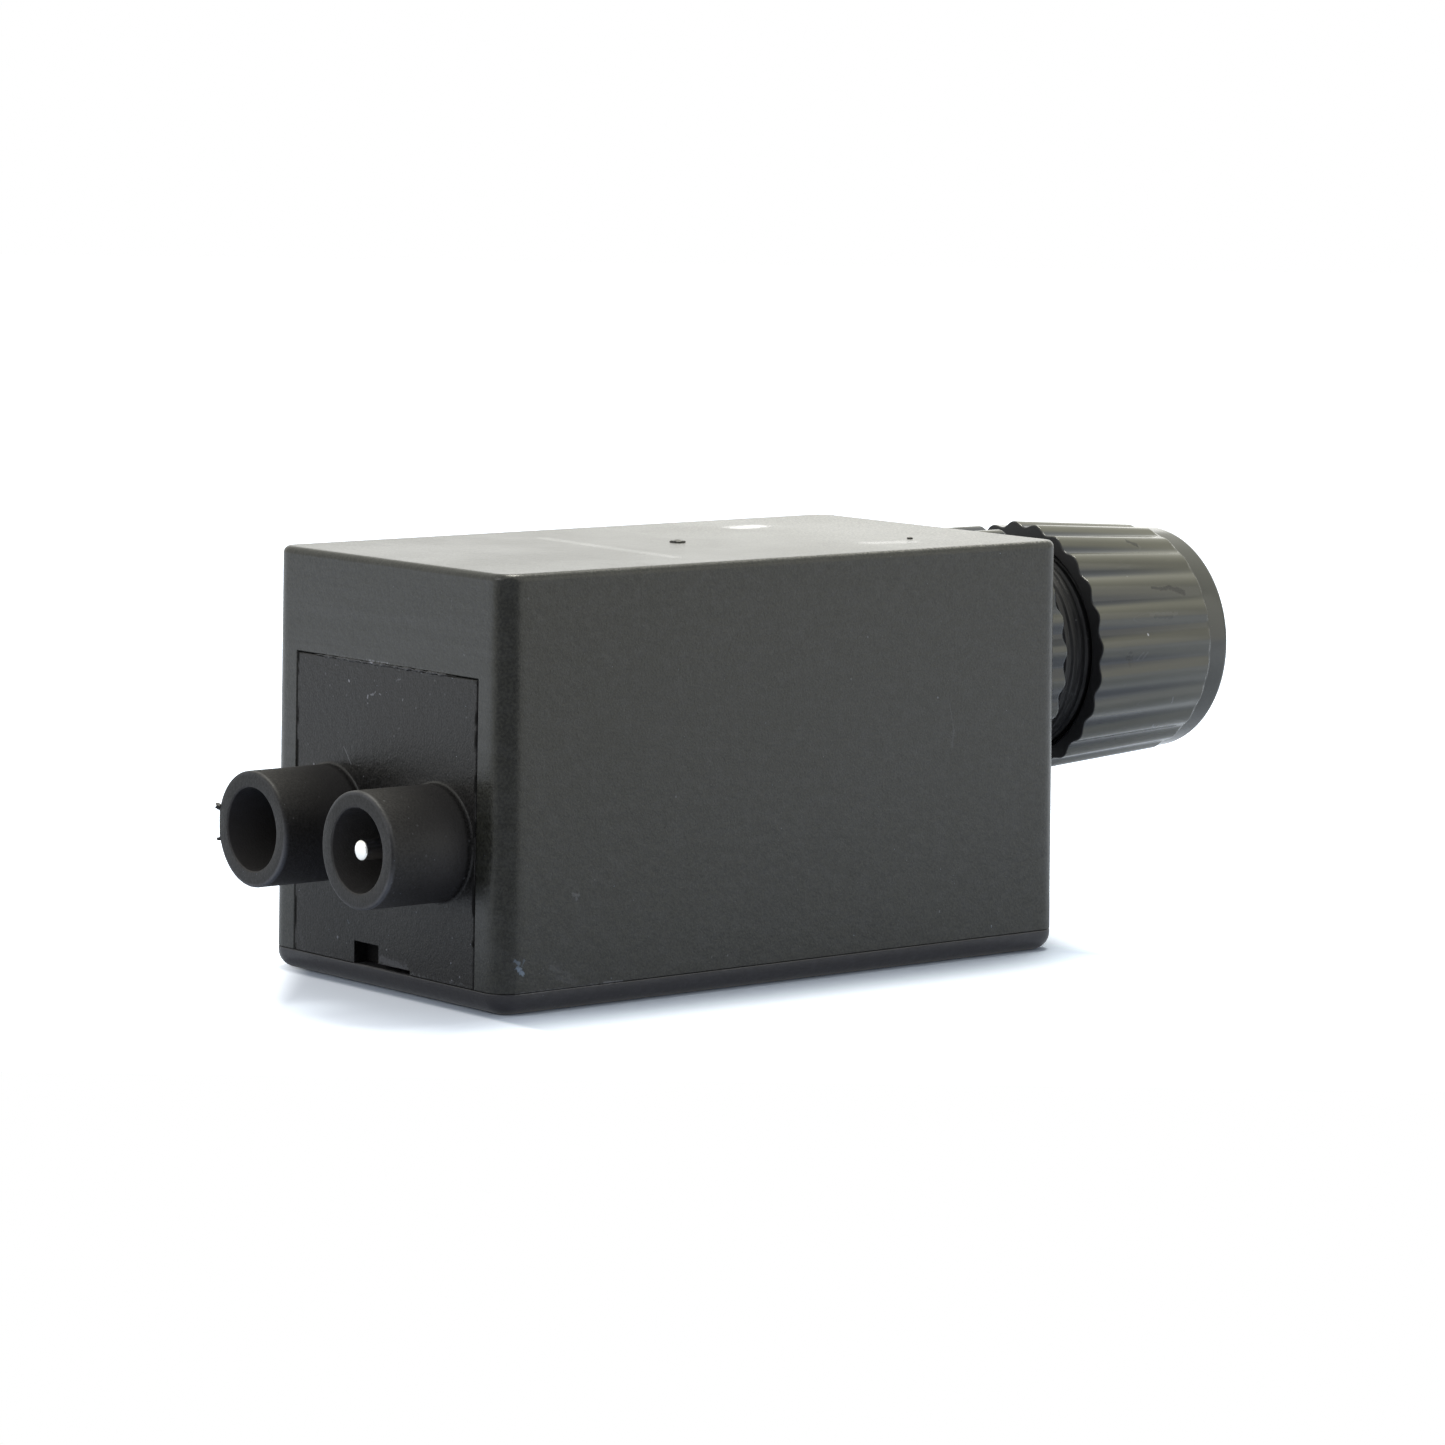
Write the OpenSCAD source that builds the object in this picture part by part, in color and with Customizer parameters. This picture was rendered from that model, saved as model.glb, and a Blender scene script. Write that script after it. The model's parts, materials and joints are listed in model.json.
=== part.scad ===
// Spark ignition unit in a moulded case, with two socket tubes on the front
// and a fluted cable gland on the back. The origin is the middle of the base
// plate's underside. The sockets face -X, the gland faces +X, and +Z is up.

/* [Case] */
// Length of the case at the base seam
case_l = 106; // [104:1:140]
// Width of the case at the base seam
case_w = 56; // [54:1:80]
// Height from the underside to the top
case_h = 62; // [60:1:90]
// Thickness of the case walls and roof at the top
wall = 2.5; // [2:0.1:3.5]
// Radius of the upright edges
corner_r = 3.5; // [2:0.5:5]
// Radius of the edge round the top
top_r = 1; // [0.5:0.1:1.8]
// Lean of the outer walls, in degrees
draft = 0.5; // [0:0.1:1]
// Height of the base plate's visible edge
base_t = 3.2; // [3:0.1:5]
// Radius of the base plate's lower edge
base_edge_r = 2.6; // [1:0.1:2.9]
// Distance of the rib under the roof from the front wall
rib_from_front = 38.5; // [37:0.5:42]
// Thickness of the rib under the roof
rib_t = 2; // [1.2:0.1:3]
// Drop of the rib below the roof
rib_drop = 13; // [5:0.5:14]
// Distance of the two mounting pillars from the back wall
pillar_from_back = 23.5; // [22:0.5:25]
// Distance between the mounting pillars
pillar_pitch = 31.2; // [28:0.2:32]
// Diameter of a mounting pillar
pillar_d = 10; // [8:0.5:11]
// Diameter of a threaded insert
insert_d = 7; // [6:0.1:7.5]
// Length of a threaded insert
insert_l = 12; // [8:0.5:20]
// Core diameter of the insert's thread
insert_bore_d = 4.2; // [3.2:0.1:5]
// Clearance between parts that are pushed together by hand
push_clear = 0.1; // [0.05:0.05:0.2]
// Height of the base plate's locating rim
rim_h = 4; // [2:0.5:4.5]
// Thickness of the base plate's locating rim
rim_t = 1.6; // [1:0.1:2.5]

/* [Socket panel] */
// Width of the panel's opening in the front wall
panel_w = 43.5; // [42:0.5:46]
// Height of the panel's upper edge above the underside
panel_top = 47; // [40:0.5:52]
// Gap round the panel in its opening
panel_gap = 0.15; // [0.1:0.05:0.3]
// Overlap of the panel's flange behind the wall
flange_lip = 1.6; // [1:0.1:2]
// Thickness of the panel's flange
flange_t = 2; // [1.5:0.1:2.5]
// Distance between the two socket tubes
socket_pitch = 25.6; // [22:0.1:26]
// Height of the socket tubes' axes
socket_z = 23; // [20:0.5:30]
// Length of a socket tube from the panel's face
socket_l = 13.8; // [8:0.1:25]
// Outer diameter of a socket tube
socket_d = 16.8; // [15:0.1:18]
// Bore of a socket tube
socket_bore_d = 12; // [11:0.1:13]
// Rounding of a socket tube's mouth
socket_edge_r = 0.5; // [0.2:0.1:1]
// Depth of the bore behind the panel's face
socket_sink = 2; // [0.5:0.1:2.5]
// Width of the release notch at the panel's foot
notch_w = 4.7; // [3:0.1:6]
// Height of the release notch
notch_h = 3.2; // [2:0.1:5]
// Depth of the release notch
notch_depth = 3.9; // [2:0.1:4]
// Width of the slot that runs on from the notch
slot_w = 8.8; // [4:0.1:12]
// Height of the slot that runs on from the notch
slot_h = 0.6; // [0.3:0.1:1.5]
// Diameter of the high voltage pin
pin_d = 3; // [2:0.1:4]
// How far the pin's end lies inside the tube's mouth
pin_recess = 0.6; // [0.2:0.1:4]
// Diameter of the pin's shoulder
pin_shoulder_d = 6; // [5:0.5:9]
// Thickness of the pin's shoulder
pin_shoulder_t = 1; // [0.5:0.1:2]
// Diameter of the washer behind the panel
retainer_d = 8; // [6:0.5:10]
// Thickness of the washer behind the panel
retainer_t = 0.6; // [0.4:0.1:1]

/* [Gland] */
// Distance of the gland's axis below the top
gland_drop = 19.5; // [18.5:0.1:21]
// Number of flutes on the collar and on the union nut
flute_count = 24; // [16:1:32]
// Depth of a flute
flute_depth = 0.8; // [0.4:0.1:1]
// Radius of the cutter that makes a flute
flute_r = 1.8; // [1.4:0.1:3]
// Turn of the first flute from straight down, in degrees
flute_turn = 3.3; // [0:0.1:15]
// Length of the collar
collar_l = 9; // [6:0.1:14]
// Diameter of the flat pad on the back wall
pad_d = 36.8; // [34:0.1:37]
// Diameter of the threaded neck
neck_d = 32; // [30:0.5:32]
// Length of the threaded neck
neck_l = 22.6; // [20:0.1:30]
// Diameter of the threaded tail through the back wall
tail_d = 20; // [17:0.5:22]
// Bore through the gland for the cable
cable_bore_d = 15; // [12:0.5:15]
// Width across the lock nut's flats
lock_nut_af = 27; // [24:0.5:28]
// Thickness of the lock nut
lock_nut_t = 5; // [3:0.5:6]
// Length of tail that stands past the lock nut
tail_past = 1.4; // [0.5:0.1:3]
// Thickness of the ring seal under the collar
ring_seal_t = 2; // [1.4:0.1:2.5]
// Middle diameter of the ring seal
ring_seal_d = 27; // [25:0.5:31]
// Gap between the collar and the union nut as the nut stands
nut_gap = 7; // [6.2:0.1:9]
// How far the nut can still be screwed in
nut_travel = 5.25; // [3:0.25:5.25]
// Thickness of the nut's wall over the flutes at its open end
nut_wall = 3.25; // [2.5:0.05:4]
// How far the nut's wall closes in to where the flutes end
nut_close_in = 1.6; // [0.5:0.1:2]
// Step from the flutes' end down to the nut's smooth outer end
nut_end_step = 0.5; // [0.3:0.1:0.8]
// Length of the nut's smooth outer end
nut_smooth_l = 4.5; // [3:0.1:6]
// Thickness of the nut's end wall
nut_end_t = 5.4; // [3:0.1:6]
// Clearance of the nut's thread on the neck
thread_clear = 0.3; // [0.2:0.05:0.4]
// Diameter of the pocket for the cable seal
seal_pocket_d = 24; // [20:0.5:26]
// Depth of the pocket for the cable seal
seal_pocket_l = 16; // [14:0.5:18]
// Bore of the cable seal
seal_bore_d = 9; // [6:0.5:11]
// Length of the cable seal
seal_l = 10.9; // [8:0.1:11]
// Thickness of the pressure ring's flange
ring_flange_t = 2; // [1.5:0.1:2.2]

/* [Ignition transformer] */
// Distance of the transformer from the front wall
core_from_front = 21; // [20.5:0.1:22]
// Height of the core's lower side above the underside
core_z = 15; // [14:0.5:18]
// Width of the core
core_w = 42; // [40:0.5:43]
// Height of the core
core_h = 30; // [28:0.5:33]
// Thickness of the core's limbs
core_limb = 8; // [6:0.5:8.5]
// Gap where the core halves meet
core_gap = 0.1; // [0.05:0.05:0.4]
// Diameter of the coil former's flanges
former_d = 23; // [21:0.5:24]
// Thickness of a flange of the coil former
former_flange_t = 1.2; // [0.8:0.1:1.4]
// Number of winding sections on the former
sections = 5; // [3:1:6]
// Diameter of the primary winding
primary_d = 20; // [18:0.5:20.5]
// Diameter of the secondary winding
secondary_d = 21; // [18:0.5:21]
// Thickness of the core clip
clip_t = 0.6; // [0.4:0.1:0.8]
// Width of the core clip
clip_w = 6; // [4:0.5:8]
// Diameter of the high voltage lead
lead_d = 2.4; // [1.6:0.1:3]
// Diameter of a primary lead
primary_lead_d = 1.6; // [1:0.1:2]

/* [Circuit board] */
// Thickness of the circuit board
board_t = 1.6; // [1:0.1:2]
// Height of the posts that carry the board
post_h = 5; // [5:0.1:8]
// Diameter of the posts that carry the board
post_d = 6; // [5:0.5:7]
// Gap between the board's edge and the case
board_edge = 0.6; // [0.4:0.1:2]
// Distance of the board screws from the board's edges
screw_inset = 4; // [3.5:0.1:5]
// Shank diameter of a board screw
screw_d = 2.5; // [2:0.1:3]
// Head diameter of a board screw
screw_head_d = 5; // [4:0.1:6]
// Head height of a board screw
screw_head_h = 1.8; // [1:0.1:2.5]
// Length of a board screw's shank
screw_l = 6; // [4:0.5:6.5]
// Number of terminal poles
poles = 3; // [2:1:3]
// Distance between terminal poles
pole_pitch = 7.5; // [7:0.1:8]
// Depth of the terminal block
block_l = 11; // [10:0.5:11.5]
// Height of the terminal block
block_h = 13; // [12:0.5:15]
// Side of a terminal clamp
clamp_w = 5; // [4:0.1:5.2]
// Wire hole of a terminal clamp
clamp_hole_d = 3; // [2:0.1:3.4]
// Storage capacitor: length, width and height
storage_size = [20, 11, 18];
// Suppression capacitor: length, width and height
suppression_size = [18, 9, 15];
// Body diameter of the charge resistor
resistor_d = 6; // [4:0.1:7]
// Body length of the charge resistor
resistor_l = 14; // [10:0.5:15]
// Number of rectifier diodes
diodes = 4; // [2:1:4]
// Body diameter of a diode
diode_d = 3; // [2:0.1:4]
// Body length of a diode
diode_l = 5; // [4:0.1:6]
// Diameter of the component leads
wire_d = 0.8; // [0.6:0.1:1]
// Thyristor body: thickness, width and height
thyristor_size = [4.4, 10, 9];
// Height of the thyristor's cooling tab above its body
tab_h = 6; // [4:0.5:7]

/* [Hidden] */
$fn = 64;
// Thickness of the thin slices that a blended shell is drawn through
slice = 0.01;
// Facets of a rounded corner in a blended shell
shell_fn = 32;
// Steps of a rounded edge in a blended shell
edge_steps = 4;
// Overshoot of cutting shapes
over = 1;
// Swelling of a wire's insulation at a sharp bend
bend_swell = 1.05;

// Case
lean = (case_h - base_t) * tan(draft);
front_x = -case_l / 2;
back_x = case_l / 2;
hollow_l = case_l - 2 * lean - 2 * wall;
hollow_w = case_w - 2 * lean - 2 * wall;
hollow_r = max(corner_r - wall, 0.5);
hollow_top = case_h - wall;
rib_x = front_x + rib_from_front;
pillar_x = back_x - pillar_from_back;

// Socket panel
flange_x = -hollow_l / 2 + push_clear;
panel_back_x = flange_x + flange_t;
panel_foot = base_t + push_clear;
socket_mouth_x = front_x - socket_l;
socket_floor_x = front_x + socket_sink;
pin_y = -socket_pitch / 2;
pin_end_x = socket_mouth_x + pin_recess;
slot_end_y = (notch_w + slot_w) / 2;
stop_t = 2;
stop_h = 6;

// Gland
gland_z = case_h - gland_drop;
collar_x = back_x;
neck_x = collar_x + collar_l;
neck_end_x = neck_x + neck_l;
nut_x = neck_x + nut_gap;
ring_seat_gap = 0.15;
ring_stop_gap = 0.6;
flute_run_out = 0.1;
nut_floor_x = neck_end_x + ring_stop_gap + nut_travel + ring_flange_t + ring_seat_gap;
nut_l = nut_floor_x + nut_end_t - nut_x;
nut_flute_l = nut_l - nut_smooth_l;
nut_bore_d = neck_d + 2 * thread_clear;
nut_d = nut_bore_d + 2 * nut_wall;
nut_flute_end_d = nut_d - 2 * nut_close_in;
nut_end_d = nut_flute_end_d - 2 * nut_end_step;
nut_floor_drop = nut_close_in + nut_end_step - flute_depth - flute_run_out;
nut_taper = atan(nut_floor_drop / nut_flute_l);
collar_d = nut_d;
lock_nut_x = hollow_l / 2 - push_clear;
tail_end_x = lock_nut_x - lock_nut_t - tail_past;
seal_x = neck_end_x - seal_pocket_l + push_clear;
seal_d = seal_pocket_d - 2 * push_clear;
ring_back_x = nut_floor_x - ring_seat_gap;
ring_flange_x = ring_back_x - ring_flange_t;
ring_nose_d = seal_pocket_d - 4 * push_clear;
ring_nose_x = seal_x + seal_l + nut_travel + ring_stop_gap;
ring_flange_d = nut_bore_d - 4 * thread_clear;
edge_break = 0.6;

// Ignition transformer
core_x = front_x + core_from_front;
leg_z = core_z + core_limb / 2;
window_w = core_w - 2 * core_limb;
former_l = window_w - 4 * push_clear;
former_tube_d = sqrt(2) * (core_limb + 2 * push_clear) + 2 * former_flange_t;
section_l = (former_l - (sections + 1) * former_flange_t) / sections;
wind_clear = 0.05;
pin_tail_x = core_x - former_d / 2 - lead_d - 2 * push_clear;
cheek_t = 1.8;
cheek_h = 5;
hook_w = core_limb - over;

// Circuit board
board_z = base_t + post_h;
board_top = board_z + board_t;
board_front = rib_x + rib_t / 2 + 2;
board_back = hollow_l / 2 - board_edge;
board_w = hollow_w - 2 * board_edge;
screw_xs = [board_front + screw_inset, board_back - screw_inset];
screw_ys = [-board_w / 2 + screw_inset, board_w / 2 - screw_inset];
block_x = board_back - screw_inset / 4 - block_l;
block_w = poles * pole_pitch + 1.5;
clamp_gap = 0.2;
part_gap = 0.6;
capacitor_back = pillar_x - pillar_d / 2 - part_gap;
pole_ys = [for (i = [0:poles - 1]) (i - (poles - 1) / 2) * pole_pitch];
pillar_ys = [-pillar_pitch / 2, pillar_pitch / 2];

// Shared shapes

// A rectangle with round corners, centred on the origin
module rounded_rect(l, w, r) {
    square([l - 2 * r, w], center = true);
    square([l, w - 2 * r], center = true);
    for (x = [-1, 1], y = [-1, 1])
        translate([x * (l / 2 - r), y * (w / 2 - r)]) circle(r);
}

// A thin slice of the case at one height, drawn in by an inset
module case_slice(z, l, w, inset) {
    translate([0, 0, z])
        linear_extrude(slice)
            rounded_rect(l - 2 * inset, w - 2 * inset, max(corner_r - inset, slice), $fn = shell_fn);
}

// The outside of the housing: leaning walls and a rounded edge round the top
module case_outside() {
    hull() {
        case_slice(base_t, case_l, case_w, 0);
        for (i = [0:edge_steps])
            let (a = 90 * i / edge_steps)
                case_slice(case_h - top_r * (1 - sin(a)) - slice, case_l, case_w,
                    lean + top_r * (1 - cos(a)));
    }
}

// Places a shape that was drawn along Z so that it runs along +X from a point
module along_x(x, y, z) {
    translate([x, y, z]) rotate([0, 90, 0]) children();
}

// A round bar from one point to another
module bar(from, to, d) {
    run = to - from;
    translate(from)
        rotate([0, atan2(norm([run.x, run.y]), run.z), atan2(run.y, run.x)])
            cylinder(d = d, h = norm(run), $fn = 24);
}

// A round wire through a list of points, with round joints
module wire(points, d) {
    for (i = [0:len(points) - 2]) bar(points[i], points[i + 1], d);
    for (i = [1:1:len(points) - 2]) translate(points[i]) sphere(d = d * bend_swell, $fn = 24);
}

// Cutters for a ring of flutes that start at z = 0 and follow a taper
module flute_cutters(d, l, taper) {
    for (i = [0:flute_count - 1])
        rotate([0, 0, flute_turn + 360 * i / flute_count])
            translate([d / 2 + flute_r - flute_depth, 0, 0])
                rotate([0, -taper, 0])
                    translate([0, 0, -over]) cylinder(r = flute_r, h = l + over);
}

// Case

// Moulded box, open below, with the panel's window, the gland's pad, a rib and two pillars
module housing() {
    color([0.16, 0.16, 0.16]) {
        difference() {
            union() {
                case_outside();
                along_x(hollow_l / 2, 0, gland_z) cylinder(d = pad_d, h = back_x - hollow_l / 2);
            }
            translate([0, 0, base_t - over])
                linear_extrude(hollow_top - base_t + over) rounded_rect(hollow_l, hollow_w, hollow_r);
            translate([front_x - over, -panel_w / 2, base_t - over])
                cube([back_x - hollow_l / 2 + 2 * over, panel_w, panel_top - base_t + over]);
            along_x(0, 0, gland_z) cylinder(d = tail_d + 2 * push_clear, h = case_l);
        }
        translate([rib_x - rib_t / 2, -hollow_w / 2, hollow_top - rib_drop])
            cube([rib_t, hollow_w, rib_drop + over]);
        for (y = pillar_ys) housing_pillar(y);
    }
}

// Pillar from the roof to the base plate, bored for a threaded insert
module housing_pillar(y) {
    foot = base_t + push_clear;
    translate([pillar_x, y, foot])
        difference() {
            cylinder(d = pillar_d, h = hollow_top - foot + over);
            translate([0, 0, -over]) cylinder(d = insert_d, h = insert_l - foot + over);
        }
}

// Bottom cover with a rounded lower edge, a locating rim, board posts and a cradle for the core
module base_plate() {
    color([0.13, 0.13, 0.13])
        difference() {
            union() {
                base_shell();
                base_rim();
                for (x = screw_xs, y = screw_ys) base_post(x, y);
                for (side = [-1, 1]) core_cradle(side);
                translate([panel_back_x + push_clear, -slot_end_y, base_t - slice])
                    cube([stop_t, 2 * slot_end_y, stop_h]);
            }
            for (y = pillar_ys)
                translate([pillar_x, y, -over])
                    cylinder(d = insert_d + 2 * push_clear, h = base_t + 2 * over);
        }
}

// The plate itself, blended through slices that follow a quarter circle
module base_shell() {
    hull() {
        case_slice(base_t - slice, case_l, case_w, 0);
        for (i = [0:edge_steps])
            let (a = 90 * i / edge_steps)
                case_slice(base_edge_r * (1 - sin(a)), case_l, case_w, base_edge_r * (1 - cos(a)));
    }
}

// Rim that locates the plate inside the long walls and the back wall
module base_rim() {
    outer_l = hollow_l - 2 * push_clear;
    outer_w = hollow_w - 2 * push_clear;
    difference() {
        translate([0, 0, base_t - slice]) linear_extrude(rim_h) rounded_rect(outer_l, outer_w, hollow_r);
        translate([-rim_t, 0, base_t])
            linear_extrude(rim_h) square([outer_l, outer_w - 2 * rim_t], center = true);
        translate([-hollow_l, -case_w / 2, base_t])
            cube([hollow_l + rib_x, case_w, rim_h]);
    }
}

// Post under a corner of the board, with a pilot hole for its screw
module base_post(x, y) {
    translate([x, y, base_t - slice])
        difference() {
            cylinder(d = post_d, h = post_h + slice);
            translate([0, 0, post_h + board_t - screw_l - over / 2])
                cylinder(d = screw_d, h = screw_l + over);
        }
}

// Seat and cheeks under one end of the transformer core
module core_cradle(side) {
    seat_l = core_limb + 2 * (push_clear + cheek_t);
    seat_z = core_z - clip_t - 2 * push_clear;
    seat_y = core_w / 2 - hook_w;
    translate([core_x - seat_l / 2, side > 0 ? seat_y : -seat_y - hook_w, base_t - slice])
        difference() {
            cube([seat_l, hook_w, seat_z - base_t + cheek_h]);
            translate([cheek_t, -over, seat_z - base_t + slice])
                cube([seat_l - 2 * cheek_t, hook_w + 2 * over, cheek_h + over]);
        }
}

// Threaded inserts that take the fixing screws from below
module mount_inserts() {
    wall_d = insert_d - push_clear;
    color([0.78, 0.62, 0.28])
        for (y = pillar_ys)
            translate([pillar_x, y, 0])
                difference() {
                    cylinder(d = wall_d, h = insert_l - push_clear);
                    translate([0, 0, -over]) cylinder(d = insert_bore_d, h = insert_l + over);
                }
}

// Socket panel

// Insert in the front wall with a flange behind it, two socket tubes and a release notch
module socket_panel() {
    plate_w = panel_w - 2 * panel_gap;
    plate_h = panel_top - panel_gap - panel_foot;
    flange_w = panel_w + 2 * flange_lip;
    color([0.15, 0.15, 0.16])
        difference() {
            union() {
                intersection() {
                    case_outside();
                    translate([front_x - over, -plate_w / 2, panel_foot])
                        cube([panel_back_x - front_x + over, plate_w, plate_h]);
                }
                translate([flange_x, -flange_w / 2, panel_foot])
                    cube([flange_t, flange_w, plate_h + flange_lip]);
                for (side = [-1, 1]) along_x(socket_mouth_x, side * socket_pitch / 2, socket_z) socket_tube();
            }
            for (side = [-1, 1])
                along_x(socket_mouth_x, side * socket_pitch / 2, socket_z)
                    translate([0, 0, -over])
                        cylinder(d = socket_bore_d, h = socket_l + socket_sink + over);
            along_x(front_x, pin_y, socket_z)
                cylinder(d = pin_d + push_clear, h = panel_back_x - front_x + over);
            translate([front_x - over, slot_end_y - notch_w, panel_foot - over])
                cube([notch_depth + over, notch_w, notch_h + over]);
            translate([front_x - over, slot_end_y - notch_w - slot_w, panel_foot - over])
                cube([notch_depth + over, slot_w + over, slot_h + over]);
        }
}

// Outside of a tube, with a rounded mouth at z = 0
module socket_tube() {
    r = socket_d / 2;
    rotate_extrude()
        difference() {
            union() {
                square([r - socket_edge_r, socket_l + socket_sink]);
                translate([0, socket_edge_r]) square([r, socket_l + socket_sink - socket_edge_r]);
                translate([r - socket_edge_r, socket_edge_r]) circle(socket_edge_r);
            }
            translate([-r, -over]) square([r, socket_l + 2 * over]);
        }
}

// Flat-ended pin with a shoulder on the socket's floor and a tail for the lead
module high_voltage_pin() {
    color([0.82, 0.78, 0.68]) {
        along_x(pin_end_x, pin_y, socket_z)
            cylinder(d = pin_d, h = pin_tail_x - pin_end_x);
        along_x(socket_floor_x - pin_shoulder_t, pin_y, socket_z)
            cylinder(d = pin_shoulder_d, h = pin_shoulder_t);
    }
}

// Push-on washer that keeps the pin in the panel
module pin_retainer() {
    color([0.72, 0.72, 0.74])
        along_x(panel_back_x, pin_y, socket_z)
            difference() {
                cylinder(d = retainer_d, h = retainer_t);
                translate([0, 0, -over]) cylinder(d = pin_d + push_clear, h = retainer_t + 2 * over);
            }
}

// Gland

// Fluted collar, plain neck where the thread runs, and a tail through the back wall
module gland_body() {
    pocket = seal_pocket_l;
    color([0.14, 0.14, 0.15])
        difference() {
            union() {
                along_x(collar_x, 0, gland_z)
                    difference() {
                        rotate_extrude() collar_profile();
                        flute_cutters(collar_d, collar_l + over, 0);
                    }
                along_x(neck_x - over, 0, gland_z) rotate_extrude() neck_profile();
                along_x(tail_end_x, 0, gland_z) cylinder(d = tail_d, h = collar_x - tail_end_x + over);
            }
            along_x(tail_end_x - over, 0, gland_z) cylinder(d = cable_bore_d, h = neck_end_x - tail_end_x);
            along_x(neck_end_x - pocket, 0, gland_z) cylinder(d = seal_pocket_d, h = pocket + over);
            along_x(collar_x - over, 0, gland_z)
                difference() {
                    cylinder(d = ring_seal_d + ring_seal_t + 2 * push_clear, h = ring_seal_t + over);
                    cylinder(d = ring_seal_d - ring_seal_t - 2 * push_clear, h = ring_seal_t + over);
                }
        }
}

// Half section of the collar, with broken edges
module collar_profile() {
    r = collar_d / 2;
    polygon([
        [0, 0], [r - edge_break, 0], [r, edge_break],
        [r, collar_l - edge_break], [r - edge_break, collar_l], [0, collar_l]
    ]);
}

// Half section of the neck, with a lead-in at its end
module neck_profile() {
    r = neck_d / 2;
    l = neck_l + over;
    polygon([[0, 0], [r, 0], [r, l - edge_break], [r - edge_break, l], [0, l]]);
}

// Round seal in the groove under the collar
module collar_seal() {
    seal_r = ring_seal_t / 2 - push_clear / 2;
    color([0.10, 0.10, 0.10])
        along_x(collar_x + ring_seal_t / 2, 0, gland_z)
            rotate_extrude() translate([ring_seal_d / 2, 0]) circle(seal_r);
}

// Hexagon nut that draws the collar against the back wall
module lock_nut() {
    color([0.20, 0.20, 0.21])
        along_x(lock_nut_x - lock_nut_t, 0, gland_z)
            difference() {
                cylinder(d = lock_nut_af / cos(30), h = lock_nut_t, $fn = 6);
                translate([0, 0, -over]) cylinder(d = tail_d + push_clear, h = lock_nut_t + 2 * over);
            }
}

// Rubber sleeve with two grip grooves, in the neck's pocket
module cable_seal() {
    r = seal_d / 2;
    groove = seal_l / 8;
    color([0.22, 0.22, 0.22])
        along_x(seal_x, 0, gland_z)
            rotate_extrude()
                difference() {
                    translate([seal_bore_d / 2, 0])
                        polygon([
                            [0, 0], [r - seal_bore_d / 2, 0], [r - seal_bore_d / 2, seal_l - groove],
                            [r - seal_bore_d / 2 - groove, seal_l], [0, seal_l]
                        ]);
                    for (share = [0.3, 0.6]) translate([r, seal_l * share]) circle(groove / 2);
                }
}

// Ring that the union nut pushes on the seal
module pressure_ring() {
    color([0.30, 0.30, 0.31])
        difference() {
            union() {
                along_x(ring_flange_x, 0, gland_z) cylinder(d = ring_flange_d, h = ring_flange_t);
                along_x(ring_nose_x, 0, gland_z)
                    cylinder(d = ring_nose_d, h = ring_back_x - ring_nose_x - edge_break);
            }
            along_x(ring_nose_x - over, 0, gland_z) cylinder(d = cable_bore_d, h = nut_l);
        }
}

// Fluted union nut: tapered grip, smooth outer end, threaded bore and cable hole
module gland_nut() {
    color([0.17, 0.17, 0.18])
        along_x(nut_x, 0, gland_z)
            difference() {
                rotate_extrude() nut_profile();
                flute_cutters(nut_d, nut_flute_l, nut_taper);
                translate([0, 0, -over]) cylinder(d = nut_bore_d, h = nut_l - nut_end_t + over);
                cylinder(d = cable_bore_d, h = nut_l + over);
            }
}

// Half section of the nut's outside
module nut_profile() {
    r = nut_end_d / 2;
    polygon([
        [0, 0], [nut_d / 2 - edge_break, 0], [nut_d / 2, edge_break],
        [nut_flute_end_d / 2, nut_flute_l], [r, nut_flute_l + edge_break],
        [r, nut_l - 2 * edge_break], [r - edge_break / 2, nut_l - edge_break / 2],
        [r - 2 * edge_break, nut_l], [0, nut_l]
    ]);
}

// Ignition transformer

// Two U pieces that meet in the middle of the legs
module core_halves() {
    leg_l = core_w / 2 - core_gap / 2;
    color([0.24, 0.24, 0.26])
        for (side = [-1, 1])
            translate([core_x, side * core_w / 2, core_z])
                mirror([0, side > 0 ? 1 : 0, 0])
                    difference() {
                        translate([-core_limb / 2, 0, 0]) cube([core_limb, leg_l, core_h]);
                        translate([-core_limb, core_limb, core_limb])
                            cube([2 * core_limb, core_w, core_h - 2 * core_limb]);
                    }
}

// Spring strip over the core that hooks under both ends
module core_clip() {
    inner_w = core_w + 2 * push_clear;
    inner_h = core_h + 2 * push_clear;
    color([0.70, 0.71, 0.73])
        translate([core_x, 0, core_z - push_clear])
            rotate([90, 0, 90])
                linear_extrude(clip_w, center = true)
                    difference() {
                        translate([-inner_w / 2 - clip_t, -clip_t])
                            square([inner_w + 2 * clip_t, inner_h + 2 * clip_t]);
                        translate([-inner_w / 2, 0]) square([inner_w, inner_h]);
                        translate([-core_w / 2 + hook_w, -clip_t - over])
                            square([core_w - 2 * hook_w, clip_t + 2 * over]);
                    }
}

// Flanged former on the core's lower leg
module coil_former() {
    hole = core_limb + 2 * push_clear;
    color([0.85, 0.83, 0.76])
        along_former()
            difference() {
                union() {
                    cylinder(d = former_tube_d, h = former_l);
                    for (i = [0:sections])
                        translate([0, 0, i * (section_l + former_flange_t)])
                            cylinder(d = former_d, h = former_flange_t);
                }
                translate([-hole / 2, -hole / 2, -over]) cube([hole, hole, former_l + 2 * over]);
            }
}

// Places a shape drawn along Z on the core's lower leg, running along +Y
module along_former() {
    translate([core_x, -former_l / 2, leg_z]) rotate([-90, 0, 0]) children();
}

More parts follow.
